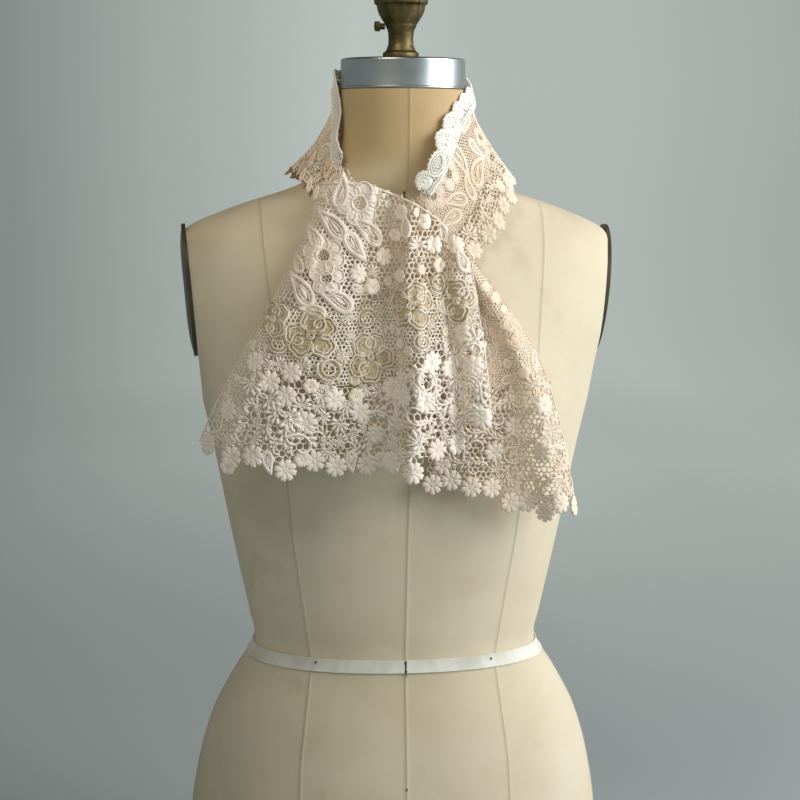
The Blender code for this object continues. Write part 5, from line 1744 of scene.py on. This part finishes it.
CREAM = (cream_thread, "cream_lace")
tail_upper = Lacework(PADDED)
taken = set_all(tail_upper, tail, (
    ("rosette", 0.80, 0.33, 15, 0.85), ("rosette", 0.45, 0.42, 40, 0.85), ("drop_small", 0.93, 0.50, 250, 0.85),
    ("scroll", 0.62, 0.22, 30, 0.6), ("flower_round", 0.25, 0.28, 0, 0.9), ("drop_small", 0.68, 0.52, 20, 0.7),
    ("flower_round", 0.15, 0.48, 0, 0.9),
), relief=0.6)
taken += scatter(tail_upper, tail, region(tail, (0.10, 0.52), (0.05, 0.92)), ("flower_small", "fan", "flower_round"),
                 9 * MM, 41, taken, (0.7, 0.9), relief=0.5)
fill_with_net(tail_upper, tail, region(tail, (0.0, TAIL_SEAM - SEAM_SHARE), (0.006, 0.994)), 2.6, 1.6, 0.34, 42, taken)
edge_cord(tail_upper, tail, across=0.99, width=1.4, reach=(0.0, TAIL_SEAM))
dress("tail_rosette", tail_upper, tail, CREAM, "tail_rosette_panel", (0.0, TAIL_SEAM))

tail_lower = Lacework(PADDED)
TAIL_HEM_FLOWERS = (0.04, 0.16, 0.29, 0.42, 0.54, 0.66, 0.77, 0.875, 0.975)
taken = set_all(tail_lower, tail, tuple(
    ("flower", across, 1.0 + 0.014 * (-1) ** k, 30 * k, 0.92) for k, across in enumerate(TAIL_HEM_FLOWERS)
) + (
    ("flower", 0.89, 0.645, 0, 1.0), ("flower", 0.80, 0.80, 0, 0.95), ("flower_round", 0.62, 0.70, 0, 1.0),
    ("flower", 0.45, 0.80, 0, 0.95), ("curl", 0.70, 0.86, 20, 0.85), ("curl", 0.55, 0.90, 200, 0.8),
    ("fan", 0.90, 0.87, 80, 0.75), ("flower_round", 0.20, 0.75, 0, 0.9), ("curl", 0.32, 0.88, 100, 0.85),
    ("curl", 0.95, 0.75, 100, 0.7), ("branch", 0.74, 0.66, 60, 0.8), ("flower_round", 0.10, 0.90, 0, 0.9),
))
inside = region(tail, (0.57, 0.97), (0.04, 0.96))
taken += scatter(tail_lower, tail, inside, ("fan", "curl", "branch", "curl"), 11 * MM, 43, taken, (0.9, 1.1))
taken += scatter(tail_lower, tail, inside, ("flower_small", "fan"), 8 * MM, 45, taken, (0.55, 0.75))
fill_with_net(tail_lower, tail, region(tail, (TAIL_SEAM + SEAM_SHARE, 0.985), (0.006, 0.994)), 4.6, 1.4, 0.5, 44, taken)
edge_cord(tail_lower, tail, across=0.99, width=1.4, reach=(TAIL_SEAM, 1.0))
dress("tail_flower", tail_lower, tail, CREAM, "tail_flower_border", (TAIL_SEAM, 1.0))

# %% [markdown]
# ## The collar
# The cloth goes once round the neck, standing at its upper edge and spread over the shoulders at
# its hem. Its inner band is close and warm in tone, its outer one is an open border of flowers.

# %% The collar's stretches
COLLAR_GAP = 0.0013
for number, (stretch, start, end) in enumerate(COLLAR_STRETCHES):
    drape = wound_drape(collar_surface, start, end, 0.5, 125 * MM)
    near, far = start + (COLLAR_GAP if start > 0 else 0), end - (COLLAR_GAP if end < 1 else 0)
    left = stretch == "left"

    upper = Lacework(PADDED)
    taken = set_all(upper, drape, (
        ("drop_small", 0.912, 0.30, 80, 1.2), ("drop_small", 0.955, 0.35, 70, 1.0),
    ) if left else (), relief=0.7)
    inside = region(drape, (0.10, COLLAR_SEAM - 0.12), (near + 0.02, far - 0.02))
    titles = ("drop_small", "open_small", "drop")
    taken += scatter(upper, drape, inside, titles, 15 * MM, 51 + number, taken, (0.75, 1.0), relief=0.35)
    inside = region(drape, (0.05, COLLAR_SEAM - 0.05), (near + 0.01, far - 0.01))
    titles = ("flower_small", "fan")
    taken += scatter(upper, drape, inside, titles, 8 * MM, 61 + number, taken, (0.6, 0.85), relief=0.35)
    inside = region(drape, (0.0, COLLAR_SEAM - 0.004), (near, far))
    fill_with_net(upper, drape, inside, 2.5, 1.5, 0.34, 71 + number, taken, tone=0.8)
    dress(f"collar_{stretch}_inner", upper, drape, CREAM, f"collar_{stretch}_panel", (0.0, COLLAR_SEAM), (near, far))

    lower = Lacework(PADDED)
    span = (near + 0.01, min(far - 0.01, 0.955))
    count = int(round((span[1] - span[0]) * 50 / 2)) + 1
    taken = set_all(lower, drape, [
        ("flower_small" if left else "flower_round", around, 0.965 + 0.02 * (-1) ** k, 20 * k, 0.95)
        for k, around in enumerate(np.linspace(*span, count))
    ], relief=0.6)
    inside = region(drape, (COLLAR_SEAM + 0.07, 0.88), (near + 0.015, far - 0.015))
    titles = ("curl", "flower_round", "fan", "curl")
    taken += scatter(lower, drape, inside, titles, 12 * MM, 81 + number, taken, (0.75, 0.95), relief=0.6)
    inside = region(drape, (COLLAR_SEAM + 0.004, 0.985), (near, far))
    fill_with_net(lower, drape, inside, 4.0, 1.5, 0.4, 91 + number, taken)
    edge_cord(lower, drape, along=0.985, width=1.6, rise=0.8, reach=(near, far))
    dress(f"collar_{stretch}_outer", lower, drape, CREAM, f"collar_{stretch}_border", (COLLAR_SEAM, 1.0), (near, far))

# %% [markdown]
# ## The edging
# A separate strip of dense white guipure is sewn over the collar's upper edge and folded outward.
# It is a row of shells on a braid, so its free edge is scalloped.

# %% The edging's strips
EDGING_WIDTH_OUT = EDGING_REACH + SCALLOP_DEPTH
EDGING_CUT = 18.5 * MM
# title, size and advance along the strip in millimetres
EDGING_PATTERN = (
    ("shell", 0.85, 14), ("eye", 1.0, 21), ("shell", 1.25, 19), ("shell", 1.15, 17), ("shell", 0.8, 12),
    ("shell", 0.8, 12),
)
# how wide each motif is at its full size, and how far below the strip's top its middle is, in millimetres
SHELL_ROOM, EYE_ROOM, SHELL_DROP, EYE_DROP = 14, 20, 8.2, 8.5


def collar_frame(around, down):
    """A point of the collar, the way to the hem there and the way that it faces."""
    step = 1e-3
    along = collar_surface(around + step, down) - collar_surface(around - step, down)
    to_hem = collar_surface(around, down + step) - collar_surface(around, down - step)
    to_hem = to_hem / np.linalg.norm(to_hem, axis=-1, keepdims=True)
    normal = np.cross(to_hem, along)
    return collar_surface(around, down), to_hem, normal / np.linalg.norm(normal, axis=-1, keepdims=True)


def edging_strip(around, inward):
    """The edging's surface without its scallops, which the shells give it."""
    around, inward = np.broadcast_arrays(np.asarray(around, float), np.asarray(inward, float))
    out = 1 - inward
    sewn, to_hem, normal = collar_frame(around, EDGING_ON_COLLAR * np.clip(1 - 1.6 * out, 0, 1))
    beyond = EDGING_WIDTH_OUT * np.clip((out - 0.625) / 0.375, 0, 1.5)
    return sewn + normal * EDGING_LIFT - to_hem * beyond[..., None]


for number, (stretch, start, end) in enumerate(COLLAR_STRETCHES):
    near = max(start + (COLLAR_GAP if start > 0 else 0), EDGING_START)
    far = min(end - (COLLAR_GAP if end < 1 else 0), EDGING_END)
    plain = stretch == "left"
    drape = wound_drape(edging_strip, near, far, 0.4, 40 * MM)
    strip = Lacework(EDGING_MOTIFS)
    runs = line_at(drape, along=0.5, count=60, reach=(near, far))[:, 0]
    first, last = runs.min(), runs.max()
    taken, s, k = [], first, 3 * number
    while not plain and s < last - 6 * MM:
        title, size, advance = EDGING_PATTERN[k % len(EDGING_PATTERN)]
        advance = min(advance * MM, last - s)
        size = min(size, advance / (SHELL_ROOM * MM))
        drop_down = SHELL_DROP * MM * size
        if title == "eye":
            size, drop_down = min(size, advance / (EYE_ROOM * MM)), EYE_DROP * MM
        taken.append(set_motif(strip, drape, title, (s + advance / 2, -drop_down), 0.0, size, lift=0.4))
        s, k = s + advance, k + 1
    for depth, width in ((-2.0, 2.0) if plain else (-15.0, 1.5), (-17.2, 2.4)):
        s = np.linspace(first + 1 * MM, last - 1 * MM, int((last - first) / (2 * MM)))
        braid = np.stack([s, depth * MM + 0.35 * MM * np.sin(s / (1.6 * MM))], axis=1)
        strand(strip, braid / MM, width, 1.2, tone=0.85, base=0.4)
    top = (-2 if plain else -5) * MM
    fill_with_net(strip, drape, lambda s, t: (s > first) & (s < last) & (t < top) & (t > -EDGING_CUT), 2.8, 1.55, 0.4,
                  101 + number, taken, tone=0.8, cover=0.6)
    pieces = [hang(f"edging_{stretch}_lace", strip, drape)]
    if not plain:
        pieces.append(hang(f"edging_{stretch}_shells", strip.over, drape))
    for piece in pieces:
        finish_piece(piece, white_thread, "white_edging", f"edging_{stretch}")
    cut = (float(last - first), EDGING_CUT)
    surface = sum(face.area for face in pieces[0].data.polygons) / 2
    print(pieces[0].name, "cut", round(cut[0] / MM), "x 18.5 mm, thread", round(surface / cut[0] / cut[1], 2))
